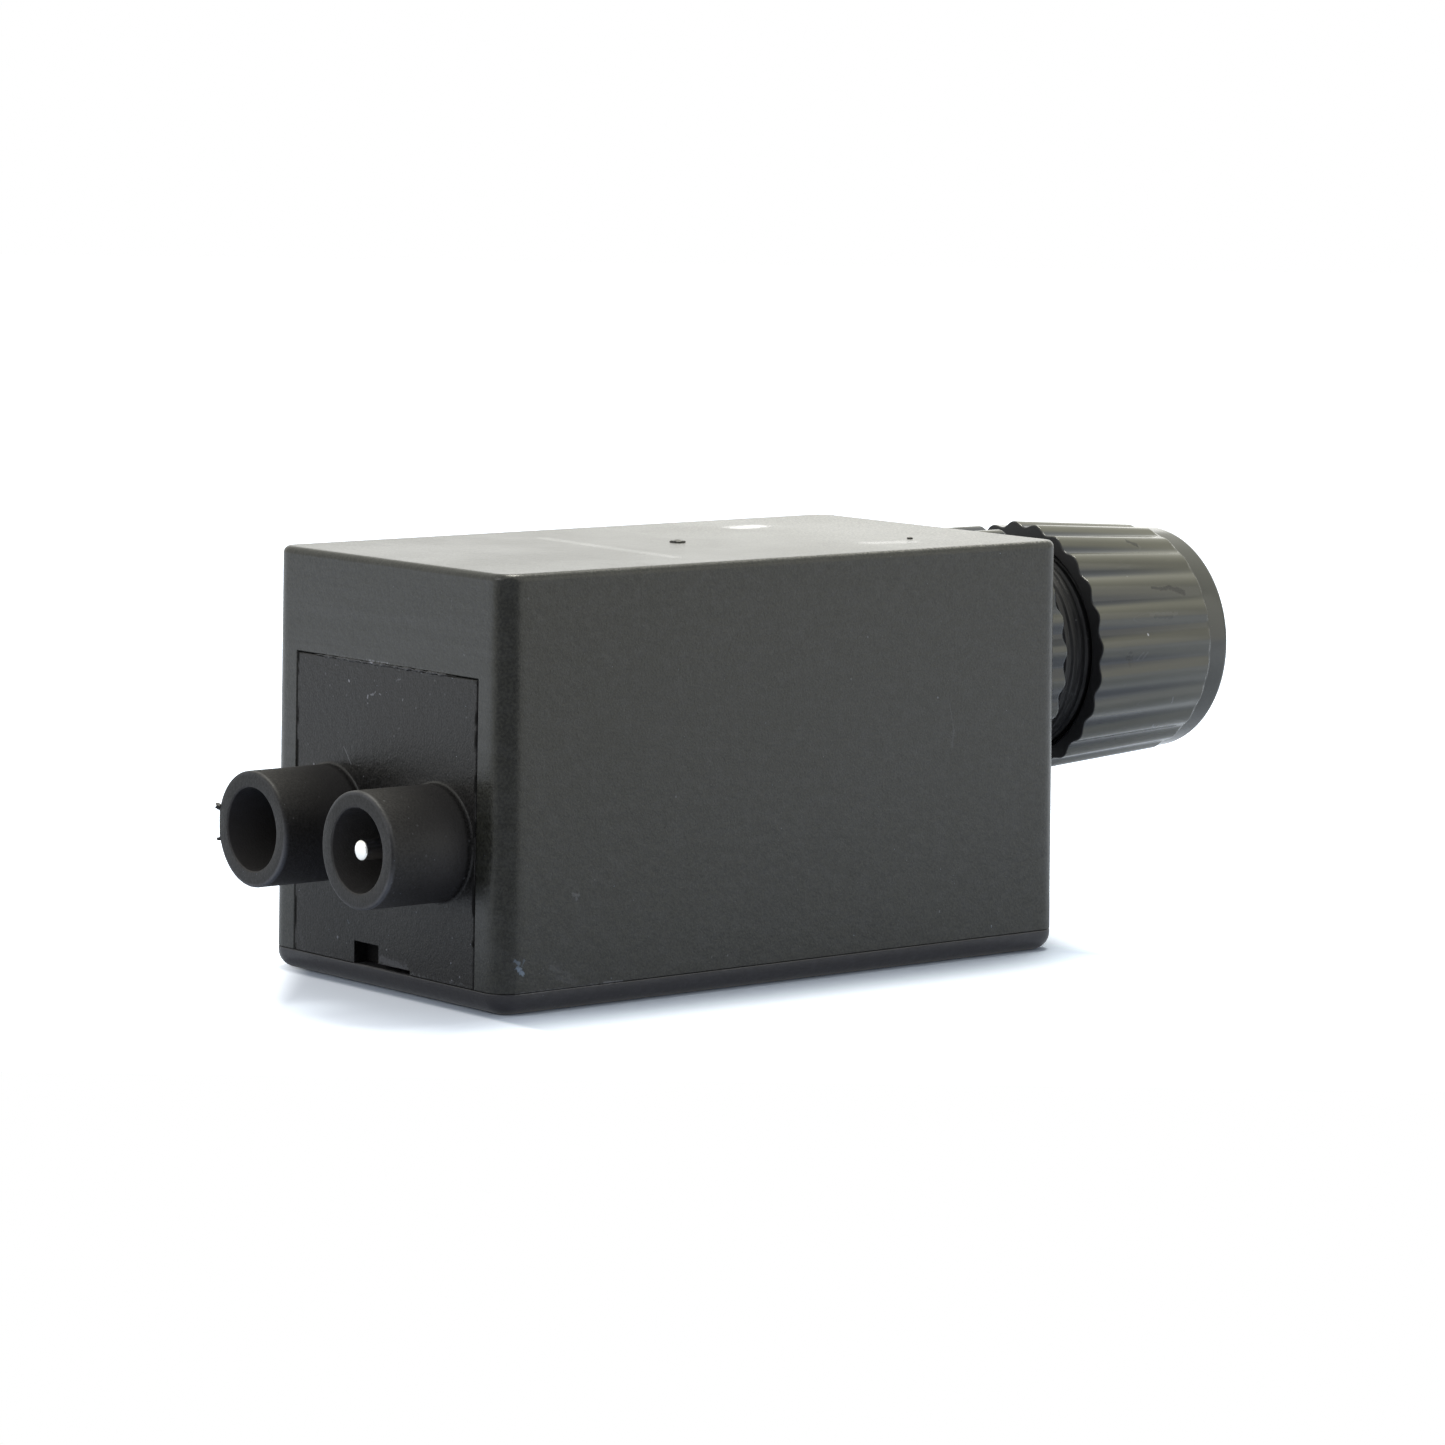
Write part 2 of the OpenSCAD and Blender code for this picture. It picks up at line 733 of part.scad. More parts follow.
// Ring of wire that fills one section of the former
module winding(i, d) {
    along_former()
        translate([0, 0, i * (section_l + former_flange_t) + former_flange_t + wind_clear])
            difference() {
                cylinder(d = d, h = section_l - 2 * wind_clear);
                translate([0, 0, -over])
                    cylinder(d = former_tube_d + 2 * wind_clear, h = section_l + 2 * over);
            }
}

// Heavy winding in the section nearest +Y
module primary_winding() {
    color([0.72, 0.42, 0.22]) winding(sections - 1, primary_d);
}

// Fine winding in the other sections
module secondary_winding() {
    color([0.66, 0.36, 0.18])
        for (i = [0:sections - 2]) winding(i, secondary_d);
}

// Insulated lead from the pin's tail to the rim of the former's end flange
module high_voltage_lead() {
    rise = (former_d / 2 + lead_d / 2 + 2 * push_clear) * sin(45);
    tail = [pin_tail_x + lead_d / 2 + push_clear, pin_y, socket_z];
    rim = [core_x - rise, -former_l / 2 + former_flange_t, leg_z + rise];
    color([0.75, 0.20, 0.16])
        wire([tail - [0, 0, lead_d / 2], [tail.x, tail.y, rim.z], rim], lead_d);
}

// Two leads from the front of the board to the primary winding
module primary_leads() {
    start = primary_d / 2 + primary_lead_d / 2 + push_clear;
    land_z = board_top + primary_lead_d / 2 + push_clear;
    color([0.80, 0.80, 0.78])
        for (i = [0, 1]) {
            y = former_l / 2 - former_flange_t - section_l * (i + 0.5) / 2;
            wire([
                [core_x + start, y, leg_z], [board_front - 2 * primary_lead_d, y, land_z + primary_lead_d],
                [board_front + screw_head_d, y, land_z]
            ], primary_lead_d);
        }
}

// Circuit board

// Board on four posts, with clearance holes for the pillars
module circuit_board() {
    color([0.10, 0.36, 0.20])
        difference() {
            translate([board_front, -board_w / 2, board_z])
                cube([board_back - board_front, board_w, board_t]);
            for (y = pillar_ys)
                translate([pillar_x, y, board_z - over])
                    cylinder(d = pillar_d + 2 * push_clear, h = board_t + 2 * over);
            for (x = screw_xs, y = screw_ys)
                translate([x, y, board_z - over])
                    cylinder(d = screw_d + 2 * push_clear, h = board_t + 2 * over);
        }
}

// Screws that hold the board on its posts
module board_screws() {
    color([0.75, 0.75, 0.77])
        for (x = screw_xs, y = screw_ys)
            translate([x, y, board_top]) {
                cylinder(d = screw_head_d, h = screw_head_h);
                translate([0, 0, -screw_l]) cylinder(d = screw_d - push_clear, h = screw_l);
            }
}

// Block with one chamber and one screw shaft for each pole
module terminal_block() {
    chamber = clamp_w + 2 * clamp_gap;
    color([0.20, 0.42, 0.30])
        translate([block_x, 0, board_top])
            difference() {
                translate([0, -block_w / 2, 0]) cube([block_l, block_w, block_h]);
                for (y = pole_ys) {
                    translate([-over, y - chamber / 2, over]) cube([block_l, chamber, chamber]);
                    translate([block_l / 2, y, chamber]) cylinder(d = clamp_w - 2 * clamp_gap, h = block_h);
                }
            }
}

// Clamp with a wire hole along X and a threaded hole for its screw
module terminal_clamps() {
    color([0.78, 0.64, 0.32])
        for (y = pole_ys)
            translate([block_x + block_l / 2, y, board_top + over + clamp_gap])
                difference() {
                    translate([-clamp_w / 2, -clamp_w / 2, 0]) cube([clamp_w, clamp_w, clamp_w]);
                    translate([-clamp_w, 0, clamp_hole_d / 2 + over / 2])
                        rotate([0, 90, 0]) cylinder(d = clamp_hole_d, h = 2 * clamp_w);
                    cylinder(d = screw_d, h = clamp_w + over);
                }
}

// Slotted screws above the clamps
module terminal_screws() {
    head_z = board_top + over + 2 * clamp_gap + clamp_w;
    head_d = clamp_w - 4 * clamp_gap;
    slot = wire_d;
    color([0.76, 0.76, 0.78])
        for (y = pole_ys)
            translate([block_x + block_l / 2, y, head_z])
                difference() {
                    union() {
                        cylinder(d = head_d, h = screw_head_h + over);
                        translate([0, 0, -clamp_w / 3]) cylinder(d = screw_d - push_clear, h = clamp_w / 3);
                    }
                    translate([-slot / 2, -head_d, screw_head_h]) cube([slot, 2 * head_d, 2 * over]);
                }
}

// A box of the given size on the board, with rounded upright edges
module board_box(x, y, size) {
    edge = min(size.x, size.y) / 10;
    translate([x + size.x / 2, y, board_top]) linear_extrude(size.z) rounded_rect(size.x, size.y, edge);
}

// Film capacitor that holds the charge for each spark
module storage_capacitor() {
    y = -resistor_d / 2 - part_gap - storage_size.y / 2;
    color([0.72, 0.22, 0.16]) board_box(capacitor_back - storage_size.x, y, storage_size);
}

// Film capacitor across the supply
module suppression_capacitor() {
    y = resistor_d / 2 + part_gap + suppression_size.y / 2;
    color([0.86, 0.72, 0.24]) board_box(capacitor_back - suppression_size.x, y, suppression_size);
}

// A round body lying along X on the board, with a lead bent down at each end
module axial_part(x, y, d, l) {
    z = board_top + d / 2 + push_clear;
    reach = l / 2 + 2 * wire_d;
    translate([x, y, 0]) {
        along_x(-l / 2, 0, z) cylinder(d = d, h = l, $fn = 32);
        for (side = [-1, 1])
            wire([[0, 0, z], [side * reach, 0, z], [side * reach, 0, board_top]], wire_d);
    }
}

// Wirewound resistor between the capacitors
module charge_resistor() {
    x = capacitor_back - resistor_l / 2 - 3 * wire_d;
    color([0.62, 0.60, 0.55]) axial_part(x, 0, resistor_d, resistor_l);
}

// Row of diodes at the front of the board
module rectifier_diodes() {
    x = board_front + diode_l / 2 + 4 * wire_d;
    color([0.16, 0.16, 0.17])
        for (i = [0:diodes - 1])
            axial_part(x, screw_ys[0] + screw_head_d + i * (diode_d + 1.5), diode_d, diode_l);
}

// Thyristor with three legs and a cooling tab, between the pillars
module trigger_thyristor() {
    size = thyristor_size;
    leg_h = 3;
    tab_t = size.x / 3;
    color([0.18, 0.18, 0.19])
        translate([pillar_x - size.x / 2, 0, board_top + leg_h]) {
            translate([0, -size.y / 2, 0]) cube(size);
            difference() {
                translate([0, -size.y / 2, size.z - slice]) cube([tab_t, size.y, tab_h + slice]);
                translate([-over, 0, size.z + tab_h / 2])
                    rotate([0, 90, 0]) cylinder(d = tab_h / 2, h = tab_t + 2 * over);
            }
            for (i = [-1:1])
                translate([size.x / 2, i * size.y / 4, -leg_h]) cylinder(d = wire_d, h = leg_h + over);
        }
}

housing();
base_plate();
socket_panel();
high_voltage_pin();
pin_retainer();
mount_inserts();
gland_body();
collar_seal();
lock_nut();
cable_seal();
pressure_ring();
gland_nut();
circuit_board();
board_screws();
terminal_block();
terminal_clamps();
terminal_screws();
core_halves();
core_clip();
coil_former();
primary_winding();
secondary_winding();
storage_capacitor();
suppression_capacitor();
charge_resistor();
rectifier_diodes();
trigger_thyristor();
high_voltage_lead();
primary_leads();
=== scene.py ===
"""Spark ignition unit: a moulded case with two socket tubes and a fluted cable gland."""

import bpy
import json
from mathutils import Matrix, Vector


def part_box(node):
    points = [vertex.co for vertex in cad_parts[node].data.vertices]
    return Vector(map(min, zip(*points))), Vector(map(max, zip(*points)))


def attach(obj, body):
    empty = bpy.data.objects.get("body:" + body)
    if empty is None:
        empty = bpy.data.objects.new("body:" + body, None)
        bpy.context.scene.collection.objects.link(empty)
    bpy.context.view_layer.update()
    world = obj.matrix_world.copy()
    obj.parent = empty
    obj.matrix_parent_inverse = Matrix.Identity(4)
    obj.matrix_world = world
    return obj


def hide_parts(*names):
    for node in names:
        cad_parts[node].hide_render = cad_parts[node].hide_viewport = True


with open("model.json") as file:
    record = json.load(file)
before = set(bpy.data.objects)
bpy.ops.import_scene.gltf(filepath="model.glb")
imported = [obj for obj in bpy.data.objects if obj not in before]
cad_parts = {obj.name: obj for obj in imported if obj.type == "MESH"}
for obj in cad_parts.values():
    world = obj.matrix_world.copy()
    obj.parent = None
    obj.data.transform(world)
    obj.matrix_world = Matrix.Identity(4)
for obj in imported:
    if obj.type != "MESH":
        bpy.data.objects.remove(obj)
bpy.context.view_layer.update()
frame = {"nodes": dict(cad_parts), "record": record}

import json
import math

import bmesh
import bpy
import numpy as np
from mathutils import Matrix

bl_info = {
    "name": "Spark ignition unit",
    "version": (1, 0, 0),
    "blender": (4, 5, 0),
    "location": "3D View > Sidebar > Ignition",
    "description": "Dresses the packed ignition unit with moulded surfaces, finishes, light and a camera",
    "category": "Object",
}

MM = 0.001
TURN = 2.0 * math.pi
WELD = 1e-7
AROUND = 288  # Columns round the gland, twelve to a lobe


def corners(node):
    """Lowest and highest corner of a CAD node, as arrays in metres."""
    low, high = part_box(node)
    return np.array(low), np.array(high)


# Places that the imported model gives
CASE_LOW, CASE_HIGH = corners("housing")
BASE_HIGH = corners("base_plate")[1]
PANEL_LOW, PANEL_HIGH = corners("socket_panel")
PIN_LOW, PIN_HIGH = corners("high_voltage_pin")
BODY_LOW, BODY_HIGH = corners("gland_body")
NUT_LOW, NUT_HIGH = corners("gland_nut")
RING_LOW, RING_HIGH = corners("pressure_ring")
SEAL_LOW, SEAL_HIGH = corners("cable_seal")
INSERT_LOW, INSERT_HIGH = corners("mount_inserts")
MOUNTS = {mount["name"]: mount for mount in frame["record"]["mounts"]}
GLAND_Z = MOUNTS["cable_entry"]["pos_m"][2]
PIN_AXIS = MOUNTS["high_voltage_terminal"]["pos_m"][1:]
SPARE_AXIS = MOUNTS["spare_socket"]["pos_m"][1:]
PILLAR_X = MOUNTS["fixing_threads"]["pos_m"][0]
PILLAR_Y = MOUNTS["fixing_threads"]["dims"]["spacing_y_mm"] / 2 * MM


def length(value, name, description):
    """A length setting, given in millimetres and kept in metres."""
    return bpy.props.FloatProperty(
        name=name,
        description=description,
        default=value * MM,
        min=0.0,
        precision=5,
        subtype="DISTANCE",
        unit="LENGTH",
    )


def metres(value, name, description):
    """A place setting, in metres."""
    return bpy.props.FloatProperty(name=name, description=description, default=value, unit="LENGTH")


def degrees(value, name, description):
    """An angle setting, given in degrees and kept in radians."""
    return bpy.props.FloatProperty(
        name=name, description=description, default=math.radians(value), subtype="ANGLE", unit="ROTATION"
    )


def watts(value, name, description):
    """A lamp's power setting."""
    return bpy.props.FloatProperty(name=name, description=description, default=value, unit="POWER")


def colour(value, name, description):
    """A colour setting, in linear values."""
    return bpy.props.FloatVectorProperty(
        name=name, description=description, default=value, size=3, min=0.0, max=1.0, subtype="COLOR"
    )


def share(value, name, description):
    """A setting between none and all."""
    return bpy.props.FloatProperty(
        name=name, description=description, default=value, min=0.0, max=1.0, subtype="FACTOR"
    )


class CaseSizes(bpy.types.PropertyGroup):
    """Sizes of the moulded box and its bottom cover."""

    corner_r: length(3.5, "Corner radius", "Radius of the upright corners at the seam")
    top_r: length(1.0, "Top edge radius", "Radius of the edge round the top")
    wall: length(2.5, "Wall", "Thickness of the walls and the roof")
    draft: degrees(0.5, "Draft", "Lean of the outer walls")
    base_edge_r: length(2.6, "Cover edge radius", "Radius of the cover's lower edge")
    seam: length(0.085, "Seam", "Groove between the box and its cover")
    edge_break: length(0.14, "Edge break", "Slope on the edges of the window")
    pad_d: length(36.8, "Gland pad", "Diameter of the flat pad under the gland")
    hole_d: length(20.2, "Gland hole", "Diameter of the hole in the back wall")
    pillar_d: length(10.0, "Pillar", "Diameter of the two pillars under the roof")
    rib_x: length(14.5, "Rib place", "Distance of the roof rib from the middle, towards the sockets")
    rib_t: length(2.0, "Rib", "Thickness of the roof rib")
    rib_drop: length(13.0, "Rib depth", "How far the rib hangs from the roof")
    sink: length(0.06, "Sink marks", "Depth of the hollows over the pillars")
    rim_t: length(1.6, "Rim", "Thickness of the cover's locating rim")
    rim_h: length(4.0, "Rim height", "Height of the cover's locating rim")


class PanelSizes(bpy.types.PropertyGroup):
    """Sizes of the socket front and its tubes."""

    window_w: length(43.5, "Window width", "Width of the opening in the front wall")
    window_top: length(47.0, "Window top", "Height of the opening's upper edge")
    gap: length(0.15, "Gap", "Gap between the panel and the opening")
    tube_d: length(16.8, "Tube", "Outside diameter of the socket tubes")
    bore_d: length(12.0, "Bore", "Inside diameter of the socket tubes")
    mouth_r: length(0.4, "Mouth edge", "Rounding of the tubes' outer edge")
    fillet: length(0.35, "Tube fillet", "Fillet between tube and panel")
    floor_in: length(2.0, "Socket floor", "How far the sockets reach behind the front wall")
    flat_in: length(0.33, "Flat", "Depth of the flat on the spare tube's mouth")
    flat_l: length(2.5, "Flat length", "How far the flat runs back from the mouth")
    notch_w: length(4.7, "Notch width", "Width of the release notch")
    notch_h: length(3.2, "Notch height", "Height of the release notch")
    notch_in: length(2.4, "Notch depth", "Depth of the release notch and its slot")
    notch_ramp: length(1.2, "Notch ramp", "How far the notch's floor ramps up on the slot's side")
    slot_w: length(8.8, "Slot width", "Width of the slot beside the notch")
    slot_h: length(0.6, "Slot height", "Height of the slot beside the notch")


class GlandSizes(bpy.types.PropertyGroup):
    """Sizes of the cable gland."""

    flutes: bpy.props.IntProperty(name="Flutes", description="Lobes of collar and nut", default=24, min=8)
    flute_depth: length(0.8, "Flute depth", "Depth of the valleys between the lobes")
    flute_turn: degrees(3.3, "Flute turn", "Angle of the first valley from straight down")
    collar_l: length(9.5, "Collar", "Length of the fluted collar")
    collar_in: length(0.4, "Collar drop", "How far the collar's crests lie inside the packed collar's")
    neck_d: length(32.0, "Neck", "Diameter over the neck's thread")
    pitch: length(1.5, "Pitch", "Pitch of the union thread")
    thread_h: length(0.35, "Thread depth", "Depth of the union thread")
    tail_d: length(20.0, "Tail", "Diameter of the threaded tail inside the case")
    cable_d: length(15.0, "Cable hole", "Diameter of the way through")
    pocket_d: length(24.0, "Seal pocket", "Diameter of the pocket for the rubber sleeve")
    pocket_l: length(16.0, "Pocket depth", "Depth of the pocket for the rubber sleeve")
    close_in: length(1.6, "Taper", "How far the nut's lobes close in along its length")
    end_step: length(0.5, "End step", "Step from the lobes down to the smooth end")
    smooth_l: length(4.5, "Smooth end", "Length of the nut's smooth end")
    end_t: length(5.4, "End wall", "Thickness of the nut's end wall")
    end_r: length(1.0, "End edge", "Rounding of the nut's outer end")


class FinishColours(bpy.types.PropertyGroup):
    """Colours of the finishes."""

    case: colour((0.0240, 0.0246, 0.0192), "Case", "Moulded black of the box")
    base: colour((0.0430, 0.0415, 0.0445), "Base", "Black of the bottom cover")
    panel: colour((0.0204, 0.0194, 0.0188), "Socket front", "Deeper black of the socket front")
    gland: colour((0.1060, 0.1050, 0.0770), "Gland", "Olive black of the cable gland")
    pin: colour((0.95, 0.94, 0.91), "Pin", "Plated metal of the terminal pin")
    brass: colour((0.60, 0.42, 0.17), "Inserts", "Brass of inserts and clamps")
    steel: colour((0.56, 0.56, 0.57), "Steel", "Spring steel and screws")
    rubber: colour((0.030, 0.030, 0.031), "Rubber", "Rubber of the seals")
    dust: colour((0.62, 0.63, 0.66), "Dust", "Pale dust, chips and scratches")
    fleck: colour((0.30, 0.38, 0.47), "Flecks", "Bluish flecks rubbed off on the corners")
    # Painted sheen: pale warm colour laid over the roof, stronger towards the gland, for its brighter
    # reflection there
    sheen: colour((0.66, 0.65, 0.60), "Film", "Pale film on the roof, towards the gland")
    # Painted shade: this colour is laid in the valleys between the nut's lobes, where shade falls
    valley: colour((0.018, 0.024, 0.033), "Valleys", "Black between the nut's lobes")


class StageSettings(bpy.types.PropertyGroup):
    """Camera and light."""

    camera_x: metres(-0.526550, "Camera X", "Camera place")
    camera_y: metres(-0.647858, "Camera Y", "Camera place")
    camera_z: metres(0.137340, "Camera Z", "Camera place")
    yaw: degrees(50.3869, "Yaw", "Turn from +X to +Y")
    pitch: degrees(6.96948, "Pitch", "Look down")
    roll: degrees(0.77727, "Roll", "Tilt of the frame")
    lens: bpy.props.FloatProperty(name="Lens", description="Focal length on a 36 mm frame", default=141.31)
    ambient: share(0.385, "Ambient", "Light from all round on matt surfaces")
    dark_level: share(0.42, "Dark side", "Brightness of the room's dark side in reflections")
    dark_from: share(0.3, "Dark side starts", "Cosine of the angle where the dark side starts")
    dark_to: share(0.65, "Dark side full", "Cosine of the angle where the dark side is full")
    key_power: watts(9.5, "Key light", "Overhead soft box")
    front_power: watts(1.8, "Front light", "Weak fill from the front")
    right_power: watts(1.3, "Right card", "Card mirrored in the side")
    back_power: watts(2.0, "Back card", "Card mirrored in the roof")


class IgnitionUnit(bpy.types.PropertyGroup):
    """All settings of the ignition unit."""

    case: bpy.props.PointerProperty(type=CaseSizes)
    panel: bpy.props.PointerProperty(type=PanelSizes)
    gland: bpy.props.PointerProperty(type=GlandSizes)
    colours: bpy.props.PointerProperty(type=FinishColours)
    stage: bpy.props.PointerProperty(type=StageSettings)


# Grids and profiles


def stations(stops, steps):
    """Places that pass through every stop, with the given number of even steps between neighbours."""
    runs = [np.linspace(a, b, n, endpoint=False) for a, b, n in zip(stops, stops[1:], steps)]
    return np.concatenate([*runs, stops[-1:]])


def rounded_loop(front, side, back, half_l, half_w, r, arc_steps):
    """Points round a rectangle with round corners, (n, 2), with the first point again at the end.

    The loop runs along the front wall, the near wall, the back wall and the far wall. The arrays give the
    places along each wall, and a quarter circle of radius r leads from each wall to the next.
    """
    turn = np.linspace(0.0, math.pi / 2, arc_steps + 1)[1:-1]

    def wall(x, y):
        return np.stack(np.broadcast_arrays(x, y), -1)

    def corner(sx, sy, start):
        x, y = sx * (half_l - r), sy * (half_w - r)
        return wall(x + r * np.cos(start + turn), y + r * np.sin(start + turn))

    loop = np.concatenate(
        [
            wall(-half_l, front[::-1]),
            corner(-1, -1, math.pi),
            wall(side, -half_w),
            corner(1, -1, 1.5 * math.pi),
            wall(half_l, back),
            corner(1, 1, 0.0),
            wall(side[::-1], half_w),
            corner(-1, 1, 0.5 * math.pi),
        ]
    )
    return np.concatenate([loop, loop[:1]])


def lift(loop, z):
    """A flat loop raised to a height."""
    return np.concatenate([loop, np.full((len(loop), 1), z)], 1)


def drawn_in(loop, shares, height):
    """Rows that draw a loop in to the middle line of its rectangle.

    Each point slides straight to the nearest point of the line that ends half a width short of either end.
    height gives z from x, y and the share of the way that is left.
    """
    half_l, half_w = np.abs(loop).max(0)
    line_x = np.clip(loop[:, 0], half_w - half_l, half_l - half_w)
    line = np.stack([line_x, np.zeros(len(loop))], -1)
    flat = line + (loop - line) * shares[:, None, None]
    left = np.broadcast_to(shares[:, None], flat.shape[:2])
    return np.concatenate([flat, height(flat[..., 0], flat[..., 1], left)[..., None]], -1)


def border(grid, rows, cols):
    """Points round a block of grid cells, with the first point again at the end."""
    (top, bottom), (left, right) = rows, cols
    return np.concatenate(
        [
            grid[top, left:right],
            grid[top:bottom, right],
            grid[bottom, right:left:-1],
            grid[bottom:top:-1, left],
            grid[top, left][None],
        ]
    )


def ring_about(points, centre, r, x):
    """The points moved straight out from an axis along X to a circle of radius r, at one x or one x each."""
    spoke = points[:, 1:] - centre
    spoke = spoke / np.linalg.norm(spoke, axis=1, keepdims=True)
    return np.concatenate([np.broadcast_to(x, len(points))[:, None], centre + r * spoke], 1)


def softened(points, cuts, steps=4, closed=True):
    """A profile with its corners eased.

    Each corner is cut back along both of its sides by its own length, and a quadratic curve joins the cuts.
    Columns after the first two, such as a flute depth, follow the same curve.
    """
    points = np.asarray(points, float)
    t = np.linspace(0.0, 1.0, steps + 1)[:, None]
    runs = []
    for before, here, after, cut in zip(np.roll(points, 1, 0), points, np.roll(points, -1, 0), cuts):
        if cut == 0:
            runs.append(here[None])
            continue
        a, b = [here + (p - here) * min(cut / np.linalg.norm((p - here)[:2]), 0.5) for p in (before, after)]
        runs.append((1 - t) ** 2 * a + 2 * t * (1 - t) * here + t * t * b)
    profile = np.concatenate(runs)
    return np.concatenate([profile, profile[:1]]) if closed else profile


def turned(along, radius, count, centre, axis="X"):
    """A profile carried round an axis.

    Row i lies at along[i] on the axis and at radius[i] from it, and columns step round from straight down
    towards +Y (about X) or from +X towards +Y (about Z). radius may hold a value for every column.
    """
    angle = np.linspace(0.0, TURN, count + 1)
    radius = np.asarray(radius)
    radius = radius[:, None] if radius.ndim == 1 else radius
    along = np.broadcast_to(np.asarray(along)[:, None], (len(along), count + 1))
    if axis == "X":
        return np.stack([along, centre[0] + radius * np.sin(angle), centre[1] - radius * np.cos(angle)], -1)
    return np.stack([centre[0] + radius * np.cos(angle), centre[1] + radius * np.sin(angle), along], -1)


def block(low, high):
    """A closed box: a square carried up, drawn in to its middle at both ends."""
    (x0, y0, z0), (x1, y1, z1) = low, high
    loop = np.array([[x0, y0], [x1, y0], [x1, y1], [x0, y1], [x0, y0]])
    middle = np.broadcast_to(loop[:4].mean(0), loop.shape)
    return np.stack([lift(middle, z0), lift(loop, z0), lift(loop, z1), lift(middle, z1)])


def lobes(size, count):
    """Depth of the valleys round the axis: a raised cosine of the angle, 0 on a crest and 1 in a valley."""
    angle = np.linspace(0.0, TURN, count + 1)
    return (0.5 + 0.5 * np.cos(size.flutes * (angle - size.flute_turn))) ** 1.15


def thread(along, count, pitch):
    """Depth of a right-hand thread, from 0 on a crest to 1 in a root.

    It is a flattened cosine of the place along the axis, less the turn so far, in pitches.
    """
    angle = np.linspace(0.0, 1.0, count + 1)
    phase = np.asarray(along)[:, None] / pitch - angle
    return np.clip(0.5 + 0.9 * np.cos(TURN * phase), 0.0, 1.0)


# Pieces


def weld(mesh, name):
    """Merges a mesh's sheets where their borders meet, turns faces outwards and tests that it is closed."""
    build = bmesh.new()
    build.from_mesh(mesh)
    bmesh.ops.remove_doubles(build, verts=build.verts, dist=WELD)
    bmesh.ops.delete(build, geom=[e for e in build.edges if not e.link_faces], context="EDGES")
    bmesh.ops.delete(build, geom=[v for v in build.verts if not v.link_faces], context="VERTS")
    bmesh.ops.recalc_face_normals(build, faces=build.faces)
    open_edges = sum(not edge.is_manifold for edge in build.edges)
    build.to_mesh(mesh)
    build.free()
    if open_edges:
        raise RuntimeError(f"{name}: {open_edges} edges aren't shared by exactly two faces")


def make_piece(name, sheets, body, slot, *nodes, sharp=32.0):
    """One piece from sheets of points in metres.

    A sheet is a grid, (rows, columns, 3), or a grid with a mask of the cells to keep. Sheets meet where
    points of their borders coincide. The slot gives the finish.
    """
    points, quads, start = [], [], 0
    for sheet in sheets:
        grid, keep = sheet if isinstance(sheet, tuple) else (sheet, None)
        rows, cols = grid.shape[:2]
        index = start + np.arange(rows * cols).reshape(rows, cols)
        cells = np.stack([index[:-1, :-1], index[:-1, 1:], index[1:, 1:], index[1:, :-1]], -1)
        quads.append(cells.reshape(-1, 4) if keep is None else cells[keep])
        points.append(grid.reshape(-1, 3))
        start += rows * cols
    points, quads = np.concatenate(points), np.concatenate(quads)
    mesh = bpy.data.meshes.new(name)
    mesh.vertices.add(len(points))
    mesh.vertices.foreach_set("co", points.ravel())
    mesh.loops.add(quads.size)
    mesh.loops.foreach_set("vertex_index", quads.ravel().astype(np.int32))
    mesh.polygons.add(len(quads))
    mesh.polygons.foreach_set("loop_start", np.arange(0, quads.size, 4, dtype=np.int32))
    mesh.update(calc_edges=True)
    weld(mesh, name)
    mesh.shade_smooth()
    mesh.set_sharp_from_angle(angle=math.radians(sharp))
    mesh.materials.append(finish_of(slot))
    piece = bpy.data.objects.new(name, mesh)
    bpy.context.scene.collection.objects.link(piece)
    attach(piece, body)
    if nodes:
        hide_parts(*nodes)
    return piece


def case_lean(size, z):
    """How far the outer walls have leaned in at a height, in metres."""
    return (z - CASE_LOW[2]) * math.tan(size.draft)


def top_relief(size, x, y, left):
    """Height of the roof above its own plane.

    The roof sags as a shallow parabola each way, with a round hollow over each pillar, a low ridge over the
    rib and a slight dish round the gate in the middle. Each is a bell curve, and all fades out at the edge.
    """
    half_l, half_w = CASE_HIGH[:2]

    def bell(dx, dy, wide, deep):
        return np.exp(-((dx / wide) ** 2) - (dy / deep) ** 2)

    height = np.zeros_like(x)
    for side in (-1, 1):
        height -= size.sink * bell(x - PILLAR_X, y - side * PILLAR_Y, 4.2 * MM, 4.2 * MM)
    height += 0.2 * size.sink * bell(x + size.rib_x, y, 0.8 * MM, 18.0 * MM)
    height -= 0.2 * size.sink * bell(x, y, 3.0 * MM, 3.0 * MM)
    sag = (1 - (x / half_l) ** 2) * (1 - (y / half_w) ** 2)
    return (height - 0.8 * size.sink * sag) * (1 - left**12)


